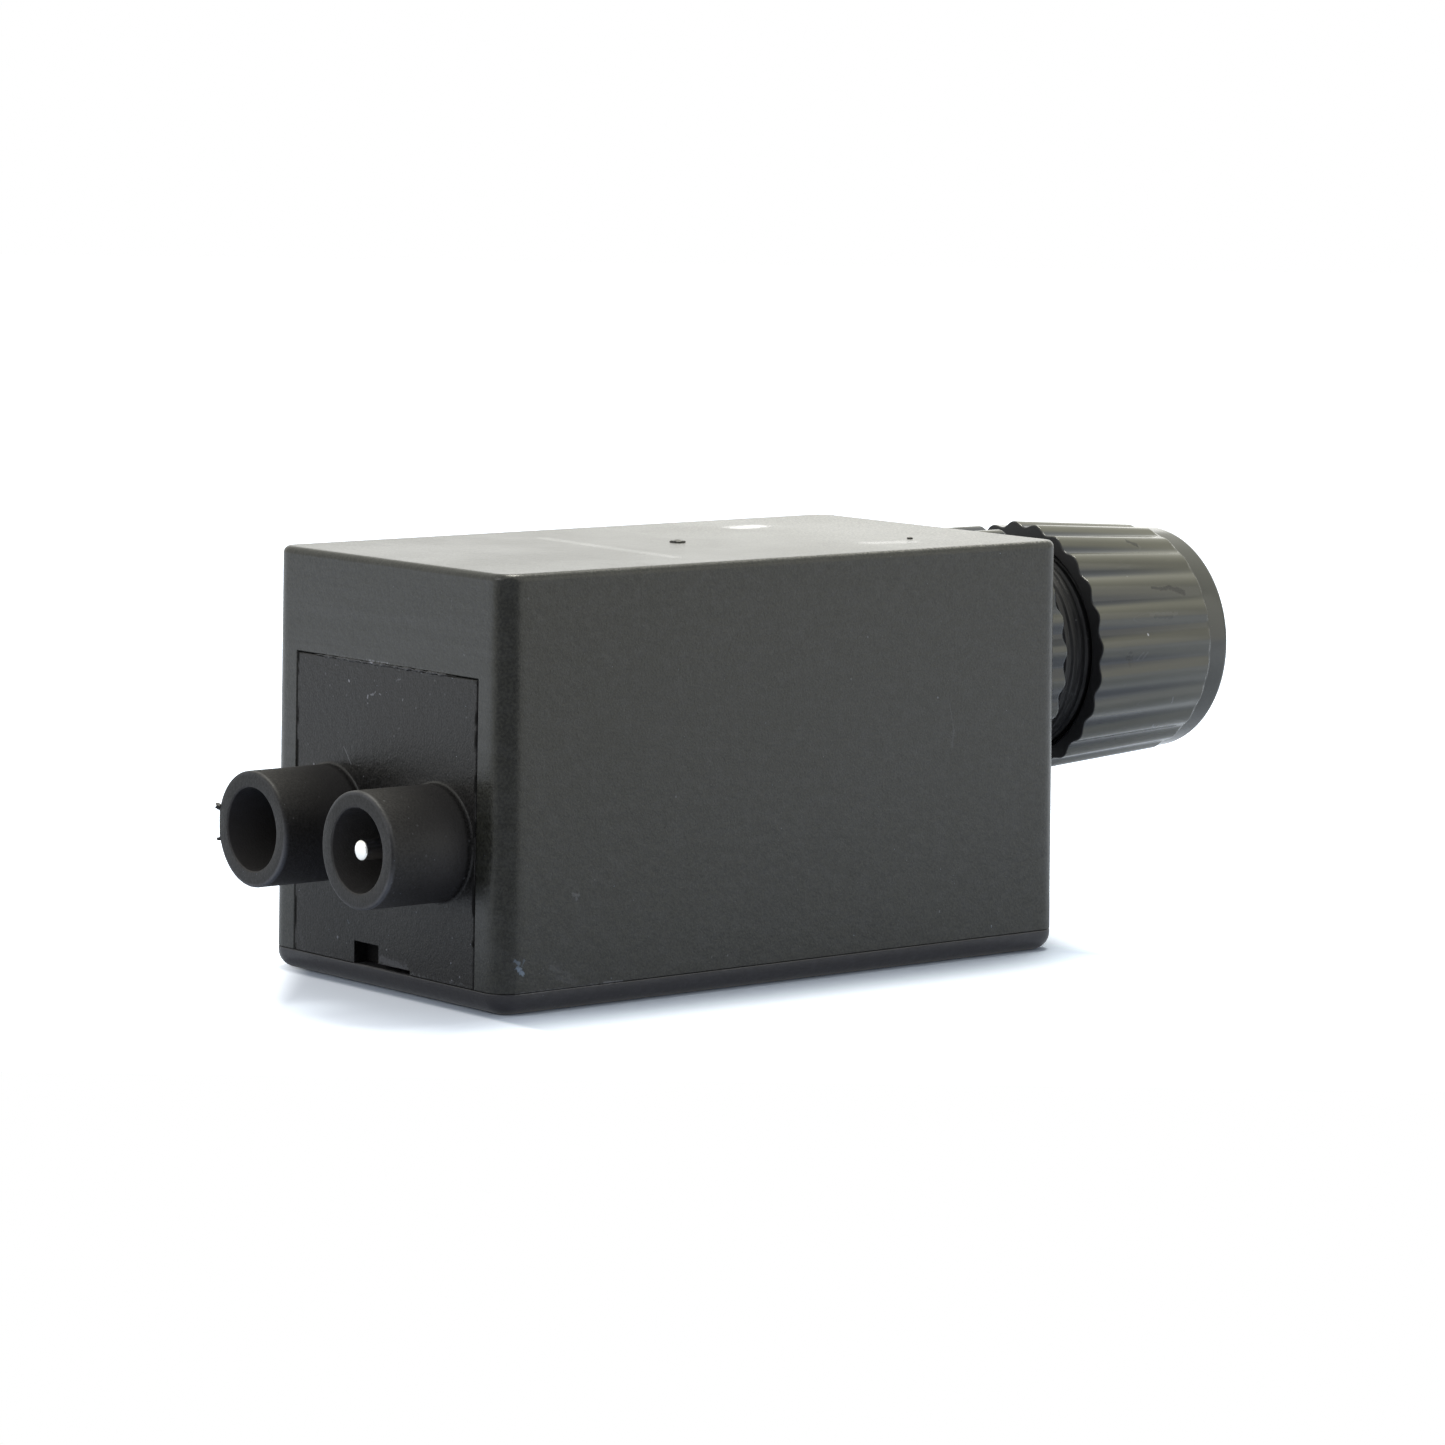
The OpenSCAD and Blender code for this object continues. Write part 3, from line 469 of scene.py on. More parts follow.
def case_sheets(size, panel):
    """The moulded box: outer walls, rounded top edge and roof, inner walls and ceiling, joined at the open
    bottom, round the panel's window and round the gland's hole."""
    half_l, half_w, top = CASE_HIGH
    foot = CASE_LOW[2]
    window_y, window_z = panel.window_w / 2, panel.window_top
    pad_r, hole_r = size.pad_d / 2, size.hole_d / 2
    inner_l, inner_w = [v - case_lean(size, top) - size.wall for v in (half_l, half_w)]
    inner_r, inner_top = max(size.corner_r - size.wall, 0.5 * MM), top - size.wall
    end_steps, side_steps, back_steps, arc_steps = (3, 34, 3), (96,), (5, 28, 5), 8

    def ring(half_x, half_y, r, opening, reach):
        front = stations([r - half_y, -opening, opening, half_y - r], end_steps)
        back = stations([r - half_y, -reach, reach, half_y - r], back_steps)
        side = stations([r - half_x, half_x - r], side_steps)
        return rounded_loop(front, side, back, half_x, half_y, r, arc_steps)

    reach = pad_r + 0.05 * MM
    edge_z = top - size.top_r
    ease = size.edge_break
    rise = (1, 9, 14, 10, 1)
    stops = [foot, foot + size.seam, GLAND_Z - reach, window_z + ease, GLAND_Z + reach, edge_z]
    heights = stations(stops, rise)
    turn = np.linspace(0.0, math.pi / 2, 9)[1:]
    round_in = case_lean(size, top) + size.top_r * (1 - np.cos(turn))
    insets = np.concatenate([case_lean(size, heights), round_in])
    insets[0] = size.seam
    levels = np.concatenate([heights, edge_z + size.top_r * np.sin(turn)])
    rings = [ring(half_l - i, half_w - i, size.corner_r - i, window_y + ease, reach) for i in insets]
    outer = np.stack([lift(loop, z) for loop, z in zip(rings, levels)])

    def roof_z(x, y, left):
        return top + top_relief(size, x, y, left)

    roof = drawn_in(rings[-1], np.linspace(1.0, 0.0, 44), roof_z)

    inner_reach = reach - 4.0 * MM
    inner_stops = [foot, GLAND_Z - inner_reach, window_z, GLAND_Z + inner_reach, inner_top]
    inner_levels = stations(inner_stops, (sum(rise[:2]), *rise[2:4], 2))
    inner_loop = ring(inner_l, inner_w, inner_r, window_y, inner_reach)
    inner = np.stack([lift(inner_loop, z) for z in inner_levels])
    ceiling = drawn_in(inner_loop, np.linspace(1.0, 0.0, 5), lambda x, y, left: np.full_like(x, inner_top))

    rows_up = sum(rise[:3])
    left, right = end_steps[0], end_steps[0] + end_steps[1]
    back_start = sum(end_steps) + 1 + sum(side_steps) + 1 + 2 * (arc_steps - 1)
    pad_cols = (back_start + back_steps[0], back_start + back_steps[0] + back_steps[1])
    pad_rows = (sum(rise[:2]), sum(rise[:4]))
    keep_out = np.ones((len(outer) - 1, outer.shape[1] - 1), bool)
    keep_in = np.ones((len(inner) - 1, inner.shape[1] - 1), bool)
    for keep in (keep_out, keep_in):
        keep[:rows_up, left:right] = False
        keep[pad_rows[0] : pad_rows[1], pad_cols[0] : pad_cols[1]] = False
    keep_foot = np.ones((1, outer.shape[1] - 1), bool)
    keep_foot[:, left:right] = False

    rim_out, rim_in = border(outer, pad_rows, pad_cols), border(inner, pad_rows, pad_cols)
    axis = np.array([0.0, GLAND_Z])
    on_wall = ring_about(rim_out, axis, pad_r, 0.0)
    on_wall[:, 0] = half_l - case_lean(size, on_wall[:, 2])
    pad = np.stack(
        [
            rim_out,
            on_wall,
            ring_about(rim_out, axis, pad_r, half_l),
            ring_about(rim_out, axis, hole_r, half_l),
            ring_about(rim_out, axis, hole_r, inner_l),
            rim_in,
        ]
    )

    def jamb(at):
        """Window edge from the outer wall over a small slope to the inner wall."""
        slope = outer[at] + np.array([ease, 0.0, 0.0])
        slope[..., 1] = np.clip(slope[..., 1], -window_y, window_y)
        slope[..., 2] = np.minimum(slope[..., 2], window_z)
        return np.stack([outer[at], slope, inner[at]])

    up, across = slice(0, rows_up + 1), slice(left, right + 1)
    jambs = [jamb((up, left)), jamb((up, right)), jamb((rows_up, across))]
    heels = [np.stack([j[:2, 0], np.stack([j[2, 0], j[2, 0]])]) for j in jambs[:2]]
    sheets = [
        (outer, keep_out),
        roof,
        (inner, keep_in),
        ceiling,
        (np.stack([outer[0], inner[0]]), keep_foot),
        *jambs,
        *heels,
        pad,
    ]
    pillar_foot = foot + 0.1 * MM
    insert_r, insert_top = (INSERT_HIGH[0] - INSERT_LOW[0]) / 2 + 0.05 * MM, INSERT_HIGH[2] + 0.1 * MM
    pillar = softened(
        [
            (insert_top, 0.0),
            (insert_top, insert_r),
            (pillar_foot, insert_r),
            (pillar_foot, size.pillar_d / 2),
            (inner_top + 1.0 * MM, size.pillar_d / 2),
            (inner_top + 1.0 * MM, 0.0),
        ],
        [0, 0, 0.2 * MM, 0.2 * MM, 0, 0],
    )
    for side in (-1, 1):
        sheets.append(turned(pillar[:, 0], pillar[:, 1], 48, (PILLAR_X, side * PILLAR_Y), "Z"))
    rib_low = (-size.rib_x - size.rib_t / 2, -inner_w - 0.5 * MM, inner_top - size.rib_drop)
    sheets.append(block(rib_low, (-size.rib_x + size.rib_t / 2, inner_w + 0.5 * MM, inner_top + 0.5 * MM)))
    return sheets


def base_sheets(size):
    """The bottom cover: a plate whose lower edge is a quarter circle, with two round holes for the inserts
    and a locating rim inside the walls."""
    half_l, half_w = BASE_HIGH[:2]
    top, r, hole_r = CASE_LOW[2], size.base_edge_r, (INSERT_HIGH[0] - INSERT_LOW[0]) / 2 + 0.15 * MM
    reach = hole_r + 1.4 * MM
    core_l, core_w = half_l - 7.0 * MM, half_w - 6.0 * MM
    x_steps, y_steps = (40, 10, 8), (2, 10, 14, 10, 2)
    y_stops = [-core_w, -PILLAR_Y - reach, reach - PILLAR_Y, PILLAR_Y - reach, PILLAR_Y + reach, core_w]
    xs = stations([-core_l, PILLAR_X - reach, PILLAR_X + reach, core_l], x_steps)
    ys = stations(y_stops, y_steps)
    row, col = [np.cumsum((0, *steps)).tolist() for steps in (x_steps, y_steps)]
    hole_rows = (row[1], row[2])

    def ring(inset, z):
        corner_r = size.corner_r - inset
        to_x, to_y = half_l - inset - corner_r, half_w - inset - corner_r
        x, y = xs * to_x / core_l, ys * to_y / core_w
        return lift(rounded_loop(y, x, y, half_l - inset, half_w - inset, corner_r, 8), z)

    core = rounded_loop(ys, xs, ys, core_l, core_w, 0.0, 8)
    seam = size.seam
    turn = np.linspace(math.pi / 2, 0.0, 9)
    edge = [ring(r * (1 - math.cos(a)), r * (1 - math.sin(a))) for a in turn]
    steps = [(0.0, 2.4), (0.0, 1.6), (0.35, 1.0), (1.6, 0.9), (2.4, 0.0)]
    groove = [ring(inset * seam, top - down * seam) for inset, down in steps]
    skirt = np.stack([lift(core, 0.0), *edge, *groove, lift(core, top)])
    flat = np.stack(np.meshgrid(xs, ys, indexing="ij"), -1)
    below = np.concatenate([flat, np.zeros(flat.shape[:2] + (1,))], -1)
    above = below + np.array([0.0, 0.0, top])
    keep = np.ones((len(xs) - 1, len(ys) - 1), bool)
    sheets = [skirt]
    for side, cols in ((-1, (col[1], col[2])), (1, (col[3], col[4]))):
        keep[hole_rows[0] : hole_rows[1], cols[0] : cols[1]] = False
        centre = np.array([PILLAR_X, side * PILLAR_Y])
        rim_low, rim_high = [border(g, hole_rows, cols) for g in (below, above)]
        spoke = rim_low[:, :2] - centre
        spoke = spoke / np.linalg.norm(spoke, axis=1, keepdims=True)
        circles = [(hole_r + 0.3 * MM, 0.0), (hole_r, 0.3 * MM), (hole_r, top)]
        sheets.append(np.stack([rim_low, *[lift(centre + spoke * c, z) for c, z in circles], rim_high]))
    wall_l, wall_w = [v - case_lean(size, CASE_HIGH[2]) - size.wall - 0.1 * MM for v in (half_l, half_w)]
    bury, corner = 0.2 * MM, 1.0 * MM
    rim_foot, rim_top = top - bury, top + size.rim_h
    for side in (-1, 1):
        low = np.array([-size.rib_x, side * wall_w, rim_foot])
        high = np.array([wall_l - corner, side * (wall_w - size.rim_t), rim_top])
        sheets.append(block(np.minimum(low, high), np.maximum(low, high)))
    rim_end = (wall_l - size.rim_t, corner - wall_w, rim_foot)
    sheets.append(block(rim_end, (wall_l, wall_w - corner, rim_top)))
    return [*sheets, (below, keep), (above, keep)]


def panel_sheets(size, case):
    """The socket front: a plate that follows the leaning wall, with an L-shaped notch in its foot, a flange
    behind it, and two tubes that grow out of it with a small fillet and end in a rounded mouth. The spare
    tube has a flat on its side at the mouth, which runs out behind it."""
    foot, top = PANEL_LOW[2], size.window_top - size.gap
    half_w = size.window_w / 2 - size.gap
    mouth_x, back_x = PANEL_LOW[0], PANEL_HIGH[0]
    flange_x = back_x - 2.0 * MM
    tube_r, bore_r = size.tube_d / 2, size.bore_d / 2
    floor_x = CASE_LOW[0] + size.floor_in
    tube_z = PIN_AXIS[1]
    reach = tube_r + size.fillet * 0.6
    end_y = (size.notch_w + size.slot_w) / 2
    notch_y, tube_y = end_y - size.notch_w - size.notch_ramp, abs(PIN_AXIS[0])
    ease = case.edge_break
    side_y = half_w - ease
    y_stops = [-side_y, -tube_y - reach, -end_y, reach - tube_y, notch_y]
    y_stops += [tube_y - reach, end_y, tube_y + reach, side_y]
    z_stops = [foot, foot + size.slot_h, foot + size.notch_h, tube_z - reach, tube_z + reach, top - ease]
    y_steps, z_steps = (1, 18, 4, 6, 2, 4, 18, 1), (1, 3, 6, 22, 12)
    ys, zs = stations(y_stops, y_steps), stations(z_stops, z_steps)
    col, row = [np.cumsum((0, *steps)).tolist() for steps in (y_steps, z_steps)]

    def face_x(z):
        return CASE_LOW[0] + case_lean(case, z)

    z_grid, y_grid = np.meshgrid(zs, ys, indexing="ij")
    front = np.stack([face_x(z_grid), y_grid, z_grid], -1)
    keep = np.ones((len(zs) - 1, len(ys) - 1), bool)
    slot_row, notch_row, tube_rows = row[1], row[2], (row[3], row[4])
    slot_cols, notch_cols = (col[2], col[4]), (col[4], col[6])
    keep[:slot_row, slot_cols[0] : slot_cols[1]] = False
    keep[:notch_row, notch_cols[0] : notch_cols[1]] = False
    cut = ~keep
    sheets = []
    for (y, z), cols in ((PIN_AXIS, (col[1], col[3])), (SPARE_AXIS, (col[5], col[7]))):
        keep[tube_rows[0] : tube_rows[1], cols[0] : cols[1]] = False
        centre = np.array([y, z])
        rim = border(front, tube_rows, cols)
        foot_ring = ring_about(rim, centre, tube_r + size.fillet, 0.0)
        foot_ring[:, 0] = face_x(foot_ring[:, 2])
        rows = [rim, foot_ring]
        for a in np.linspace(0.0, math.pi / 2, 5)[1:]:
            out_x = foot_ring[:, 0] - size.fillet * (1 - math.cos(a))
            rows.append(ring_about(rim, centre, tube_r + size.fillet * (1 - math.sin(a)), out_x))
        mouth = softened(
            [
                (rows[-1][:, 0].min() - 0.3 * MM, tube_r),
                (mouth_x, tube_r),
                (mouth_x, bore_r),
                (floor_x, bore_r),
                (floor_x, 0.0),
            ],
            [0, size.mouth_r, 0.3 * MM, 0.4 * MM, 0],
            closed=False,
        )
        rows += [ring_about(rim, centre, r, x) for x, r in mouth]
        tube = np.stack(rows)
        if y == SPARE_AXIS[0]:
            back = (tube[..., 0] - mouth_x) / size.flat_l
            flat = np.where(back < 1.0, y + tube_r - size.flat_in * (1 - back), np.inf)
            tube[..., 1] = np.minimum(tube[..., 1], flat)
        sheets.append(tube)

    def outline(grid):
        return border(grid, (0, len(zs) - 1), (0, len(ys) - 1))

    def spread(x, half_y, low, high):
        """The front's grid stretched to another width and height, at one x or one x each."""
        y = y_grid * half_y / side_y
        z = low + (z_grid - foot) * (high - low) / (zs[-1] - foot)
        return np.stack([np.broadcast_to(x, y.shape), y, z], -1)

    lip_y, lip_low, lip_top = PANEL_HIGH[1], foot - 0.05 * MM, PANEL_HIGH[2]
    slope = spread(face_x(z_grid) + ease, half_w, foot, top)
    pocket = spread(face_x(z_grid) + size.notch_in, half_w, foot, top)
    pocket[:, notch_cols[0], 1] += size.notch_ramp
    plate = spread(flange_x, half_w, foot, top)
    step = spread(flange_x, lip_y, lip_low, lip_top)
    behind = spread(back_x, lip_y, lip_low, lip_top)
    sides = np.stack([outline(front), outline(slope), outline(pocket), outline(plate)])
    keep_sides = np.ones((3, sides.shape[1] - 1), bool)
    keep_sides[:2, slot_cols[0] : notch_cols[1]] = False
    path = [(r, slot_cols[0]) for r in range(slot_row + 1)]
    path += [(slot_row, c) for c in range(slot_cols[0] + 1, notch_cols[0] + 1)]
    path += [(r, notch_cols[0]) for r in range(slot_row + 1, notch_row + 1)]
    path += [(notch_row, c) for c in range(notch_cols[0] + 1, notch_cols[1] + 1)]
    path += [(r, notch_cols[1]) for r in range(notch_row - 1, -1, -1)]
    at = tuple(np.array(path).T)
    return [
        *sheets,
        (front, keep),
        (sides, keep_sides),
        np.stack([outline(plate), outline(step), outline(behind)]),
        behind,
        (pocket, cut),
        np.stack([front[at], slope[at], pocket[at]]),
    ]


def ragged_bead(path, radius, phase=0.0):
    """A closed bead along a path: rings square to it, roughened by sines of the way along and round."""
    s = np.linspace(0.0, 1.0, len(path))[:, None]
    around = np.linspace(0.0, TURN, 13)
    along = np.gradient(path, axis=0)
    along = along / np.linalg.norm(along, axis=1, keepdims=True)
    side = np.cross(along, np.array([1.0, 0.0, 0.0]))
    side = side / np.linalg.norm(side, axis=1, keepdims=True)
    up = np.cross(side, along)
    rough = 1 + 0.22 * np.sin(71 * s + 2 * around + phase) + 0.16 * np.sin(139 * s - around + 2.3 * phase)
    r = radius[:, None] * rough
    r[[0, -1]] = 0.0
    r[:, -1] = r[:, 0]
    spoke = np.cos(around)[:, None] * side[:, None] + np.sin(around)[:, None] * up[:, None]
    return path[:, None] + r[..., None] * spoke


def flash_sheets(panel):
    """Burr at the spare tube's mouth: a thin bead down the flat, a knob at either end, and a hair."""
    x = PANEL_LOW[0] + 0.25 * MM
    y = SPARE_AXIS[0] + panel.tube_d / 2 - panel.flat_in
    half = math.sqrt(panel.flat_in * (panel.tube_d - panel.flat_in))
    t = np.linspace(-1.0, 1.0, 61)
    knobs = np.exp(-(((t - 0.93) / 0.14) ** 2)) + 0.6 * np.exp(-(((t + 0.95) / 0.10) ** 2))
    path = np.stack([np.full_like(t, x), y + 0.42 * MM * knobs, SPARE_AXIS[1] + 1.12 * half * t], -1)
    bead = ragged_bead(path, (0.14 + 0.46 * knobs) * MM, 0.6)
    s = np.linspace(0.0, 1.0, 15)
    hair_y, hair_z = y + (0.3 + 1.1 * s) * MM, path[2, 2] + (0.1 + 0.35 * s * s) * MM
    droop = np.stack([np.full_like(s, x), hair_y, hair_z], -1)
    hair = ragged_bead(droop, 0.07 * MM * (1.05 - s))
    return [bead, hair]


def burr_sheets(panel, case):
    """Burr in the seam over the panel: a ragged bead along the middle of the gap, thinner at its ends."""
    y = np.linspace(-0.78, 0.80, 181) * panel.window_w / 2
    z = panel.window_top - panel.gap / 2
    thick = (0.19 + 0.05 * np.sin(y * 900.0) + 0.05 * np.sin(y * 2300.0 + 1)) * MM
    thick *= np.clip(np.minimum(y - y[0], y[-1] - y) / (4.0 * MM), 0.05, 1.0)
    x = np.full_like(y, CASE_LOW[0] + case_lean(case, z) + 0.03 * MM)
    return [ragged_bead(np.stack([x, y, np.full_like(y, z)], -1), thick, 1.7)]


def pin_sheets():
    """The terminal pin: a round rod with a broken edge, a shoulder on the socket's floor and a tail."""
    dims = MOUNTS["high_voltage_terminal"]["dims"]
    r, shoulder_r = dims["r_mm"] * MM, (PIN_HIGH[1] - PIN_LOW[1]) / 2
    x0, x1 = PIN_LOW[0], PIN_HIGH[0]
    seat = x0 + dims["length_mm"] * MM
    back = seat + 1.0 * MM
    shoulder = [(seat, r), (seat, shoulder_r), (back, shoulder_r), (back, r)]
    cuts = np.array([0, 0.35, 0, 0.2, 0.1, 0, 0.3, 0]) * MM
    profile = softened([(x0, 0), (x0, r), *shoulder, (x1, r), (x1, 0)], cuts)
    return [turned(profile[:, 0], profile[:, 1], 64, PIN_AXIS)]


def gate_sheets(size):
    """The gate's stub on the roof, a low turned disc with a torn tip, and a smaller pip near the gland."""
    top = CASE_HIGH[2]
    outline = [(-0.3, 1.0), (0.22, 1.0), (0.32, 0.85), (0.27, 0.5), (0.40, 0.28), (0.46, 0.0), (-0.3, 0.0)]
    profile = softened(np.array(outline) * MM, [0, 0.05 * MM, 0.05 * MM, 0.1 * MM, 0.1 * MM, 0, 0])
    stub = turned(top - size.sink + profile[:, 0], 1.2 * profile[:, 1], 40, (0.9 * MM, 0.4 * MM), "Z")
    pip = turned(top + 0.6 * profile[:, 0], 0.45 * profile[:, 1], 24, (34.5 * MM, -13.4 * MM), "Z")
    return [stub, pip]


def fluted(profile, size):
    """A profile of place, crest radius, flute depth and thread depth, carried round the gland's axis."""
    along, crest, flute, cut = profile.T
    valleys = flute[:, None] * lobes(size, AROUND)
    roots = cut[:, None] * thread(along, AROUND, size.pitch)
    return turned(along, crest[:, None] - valleys - roots, AROUND, (0.0, GLAND_Z))


def plain(*points):
    """Profile points that have neither flutes nor a thread."""
    return [(x, r, 0, 0) for x, r in points]


def threaded(x0, x1, r, depth, step, fade):
    """Rows of a thread between two places, with a depth that rises from nothing and falls again over fade."""
    x = np.linspace(x0, x1, max(int(abs(x1 - x0) / step), 2))
    ease = np.clip(np.minimum(np.abs(x - x0), np.abs(x1 - x)) / fade, 0.0, 1.0)
    return np.stack([x, np.full_like(x, r), np.zeros_like(x), depth * ease], -1)


def body_sheets(size):
    """The gland body: fluted collar, threaded neck with a pocket for the seal, and a threaded tail."""
    tail_x, end_x, collar_x = BODY_LOW[0], BODY_HIGH[0], CASE_HIGH[0]
    neck_x = collar_x + size.collar_l
    crest = (BODY_HIGH[1] - BODY_LOW[1]) / 2 - size.collar_in
    neck_r, bore_r = size.neck_d / 2, size.cable_d / 2
    tail_r, pocket_r, pocket_x = size.tail_d / 2, size.pocket_d / 2, end_x - size.pocket_l
    seal_low, seal_high, seal_in = 12.45 * MM, 14.55 * MM, 2.0 * MM
    depth = size.flute_depth
    tail = threaded(tail_x + 0.8 * MM, collar_x - 3.2 * MM, tail_r, 0.7 * size.thread_h, 0.25 * MM, 1.0 * MM)
    neck = threaded(neck_x + 0.5 * MM, end_x - 0.9 * MM, neck_r, size.thread_h, 0.125 * MM, 0.8 * MM)
    collar = softened(
        [
            *plain((collar_x, seal_low), (collar_x + seal_in, seal_low)),
            *plain((collar_x + seal_in, seal_high), (collar_x, seal_high), (collar_x, crest - 2.4 * MM)),
            (collar_x, crest - 0.5 * MM, depth, 0),
            (collar_x + 0.5 * MM, crest, depth, 0),
            (neck_x - 0.6 * MM, crest, depth, 0),
            (neck_x, crest - 0.6 * MM, depth, 0),
            *plain((neck_x, crest - 2.4 * MM), (neck_x, neck_r)),
        ],
        [0, 0, 0, 0, 0, 0.2 * MM, 0.3 * MM, 0.3 * MM, 0.25 * MM, 0, 0],
        closed=False,
    )
    mouth = softened(
        plain(
            (end_x - 0.6 * MM, neck_r),
            (end_x, neck_r - 0.6 * MM),
            (end_x, pocket_r),
            (pocket_x, pocket_r),
            (pocket_x, bore_r),
            (tail_x, bore_r),
            (tail_x, tail_r - 0.5 * MM),
        ),
        [0.2 * MM] * 2 + [0.3 * MM] * 5,
        closed=False,
    )
    profile = np.concatenate([tail, [(collar_x, tail_r, 0, 0)], collar, neck, mouth, tail[:1]])
    return [fluted(profile, size)]


def nut_sheets(size):
    """The union nut: lobes that close in along a taper and end in a step, a smooth end with a round edge, a
    cable hole, and a threaded bore."""
    x0, x1 = NUT_LOW[0], NUT_HIGH[0]
    crest, hole_r = (NUT_HIGH[1] - NUT_LOW[1]) / 2, size.cable_d / 2
    flute_x, floor_x = x1 - size.smooth_l, x1 - size.end_t
    taper_r = crest - size.close_in
    end_r, bore_r = taper_r - size.end_step, size.neck_d / 2 + 0.15 * MM
    depth, run_out = size.flute_depth, size.end_step - 0.06 * MM
    outside = softened(
        [
            *plain((floor_x, bore_r), (floor_x, hole_r), (x1, hole_r), (x1, end_r)),
            (flute_x + 0.45 * MM, end_r, 0, 0),
            (flute_x, taper_r, run_out, 0),
            (x0 + 0.15 * MM, crest, depth, 0),
            (x0, crest - 0.15 * MM, depth, 0),
            *plain((x0, bore_r + 0.9 * MM), (x0 + 0.9 * MM, bore_r)),
        ],
        [0, 0.3 * MM, 0.6 * MM, size.end_r, 0.2 * MM, 0.22 * MM, 0.1 * MM, 0.1 * MM, 0.2 * MM, 0],
        steps=6,
        closed=False,
    )
    bore = threaded(x0 + 1.0 * MM, floor_x - 1.2 * MM, bore_r, 0.6 * size.thread_h, 0.3 * MM, 0.8 * MM)
    bore[:, 1] += bore[:, 3]
    return [fluted(np.concatenate([outside, bore, outside[:1]]), size)]


def ring_sheets(size):
    """The pressure ring: a flange that the nut pushes, and a nose with a sloped end for the seal pocket."""
    x0, x1 = RING_LOW[0], RING_HIGH[0]
    flange_r, bore_r = (RING_HIGH[1] - RING_LOW[1]) / 2, size.cable_d / 2
    nose_r, flange_x = size.pocket_d / 2 - 0.2 * MM, x1 - 2.0 * MM
    nose = [(x0, bore_r + 1.2 * MM), (x0, nose_r - 0.6 * MM), (x0 + 0.6 * MM, nose_r), (flange_x, nose_r)]
    flange = [(flange_x, flange_r), (x1, flange_r), (x1, bore_r), (x0 + 2.0 * MM, bore_r)]
    profile = softened([*nose, *flange], np.array([0.2, 0.2, 0.2, 0.3, 0.3, 0.3, 0.4, 0.3]) * MM)
    return [turned(profile[:, 0], profile[:, 1], 96, (0.0, GLAND_Z))]


def seal_sheets():
    """The rubber sleeve: a turned ring with two round grip grooves and a sloped end."""
    x0, x1 = SEAL_LOW[0], SEAL_HIGH[0]
    r, run, edge = (SEAL_HIGH[1] - SEAL_LOW[1]) / 2, x1 - x0, 0.3 * MM
    bore_r = MOUNTS["cable_entry"]["dims"]["r_mm"] * MM
    x = np.linspace(x0 + edge, x1 - run / 8, 60)
    dip = sum(np.exp(-(((x - x0) / run - at) / 0.05) ** 2) for at in (0.3, 0.6))
    outside = np.stack([x, r - 0.65 * MM * dip], -1)
    ends = [(x1, r - run / 8), (x1, bore_r + edge), (x1 - edge, bore_r)]
    ends += [(x0 + edge, bore_r), (x0, bore_r + edge), (x0, r - edge)]
    profile = np.concatenate([outside, ends, outside[:1]])
    return [turned(profile[:, 0], profile[:, 1], 96, (0.0, GLAND_Z))]


def insert_sheets():
    """The threaded inserts: brass sleeves with a threaded bore, one in each pillar."""
    top, low = INSERT_HIGH[2], INSERT_LOW[2]
    wall_r = (INSERT_HIGH[0] - INSERT_LOW[0]) / 2 - 0.2 * MM
    bore_r = MOUNTS["fixing_threads"]["dims"]["hole_r_mm"] * MM
    count = 96
    z = np.linspace(low + 0.5 * MM, top - 0.5 * MM, 60)
    sleeve = [(top, bore_r + 0.3 * MM), (top, wall_r), (low, wall_r), (low, bore_r + 0.35 * MM)]
    outside = softened(sleeve, [0, 0.2 * MM, 0.2 * MM, 0], closed=False)
    along = np.concatenate([outside[:, 0], z, outside[:1, 0]])
    radius = np.concatenate([outside[:, 1], np.full_like(z, bore_r), outside[:1, 1]])
    radius = np.repeat(radius[:, None], count + 1, 1)
    ease = np.clip(np.minimum(z - z[0], z[-1] - z) / (0.5 * MM), 0.0, 1.0)[:, None]
    radius[len(outside) : -1] += 0.25 * MM * ease * (1 - thread(z, count, 0.8 * MM))
    return [turned(along, radius, count, (PILLAR_X, side * PILLAR_Y), "Z") for side in (-1, 1)]


# Finishes


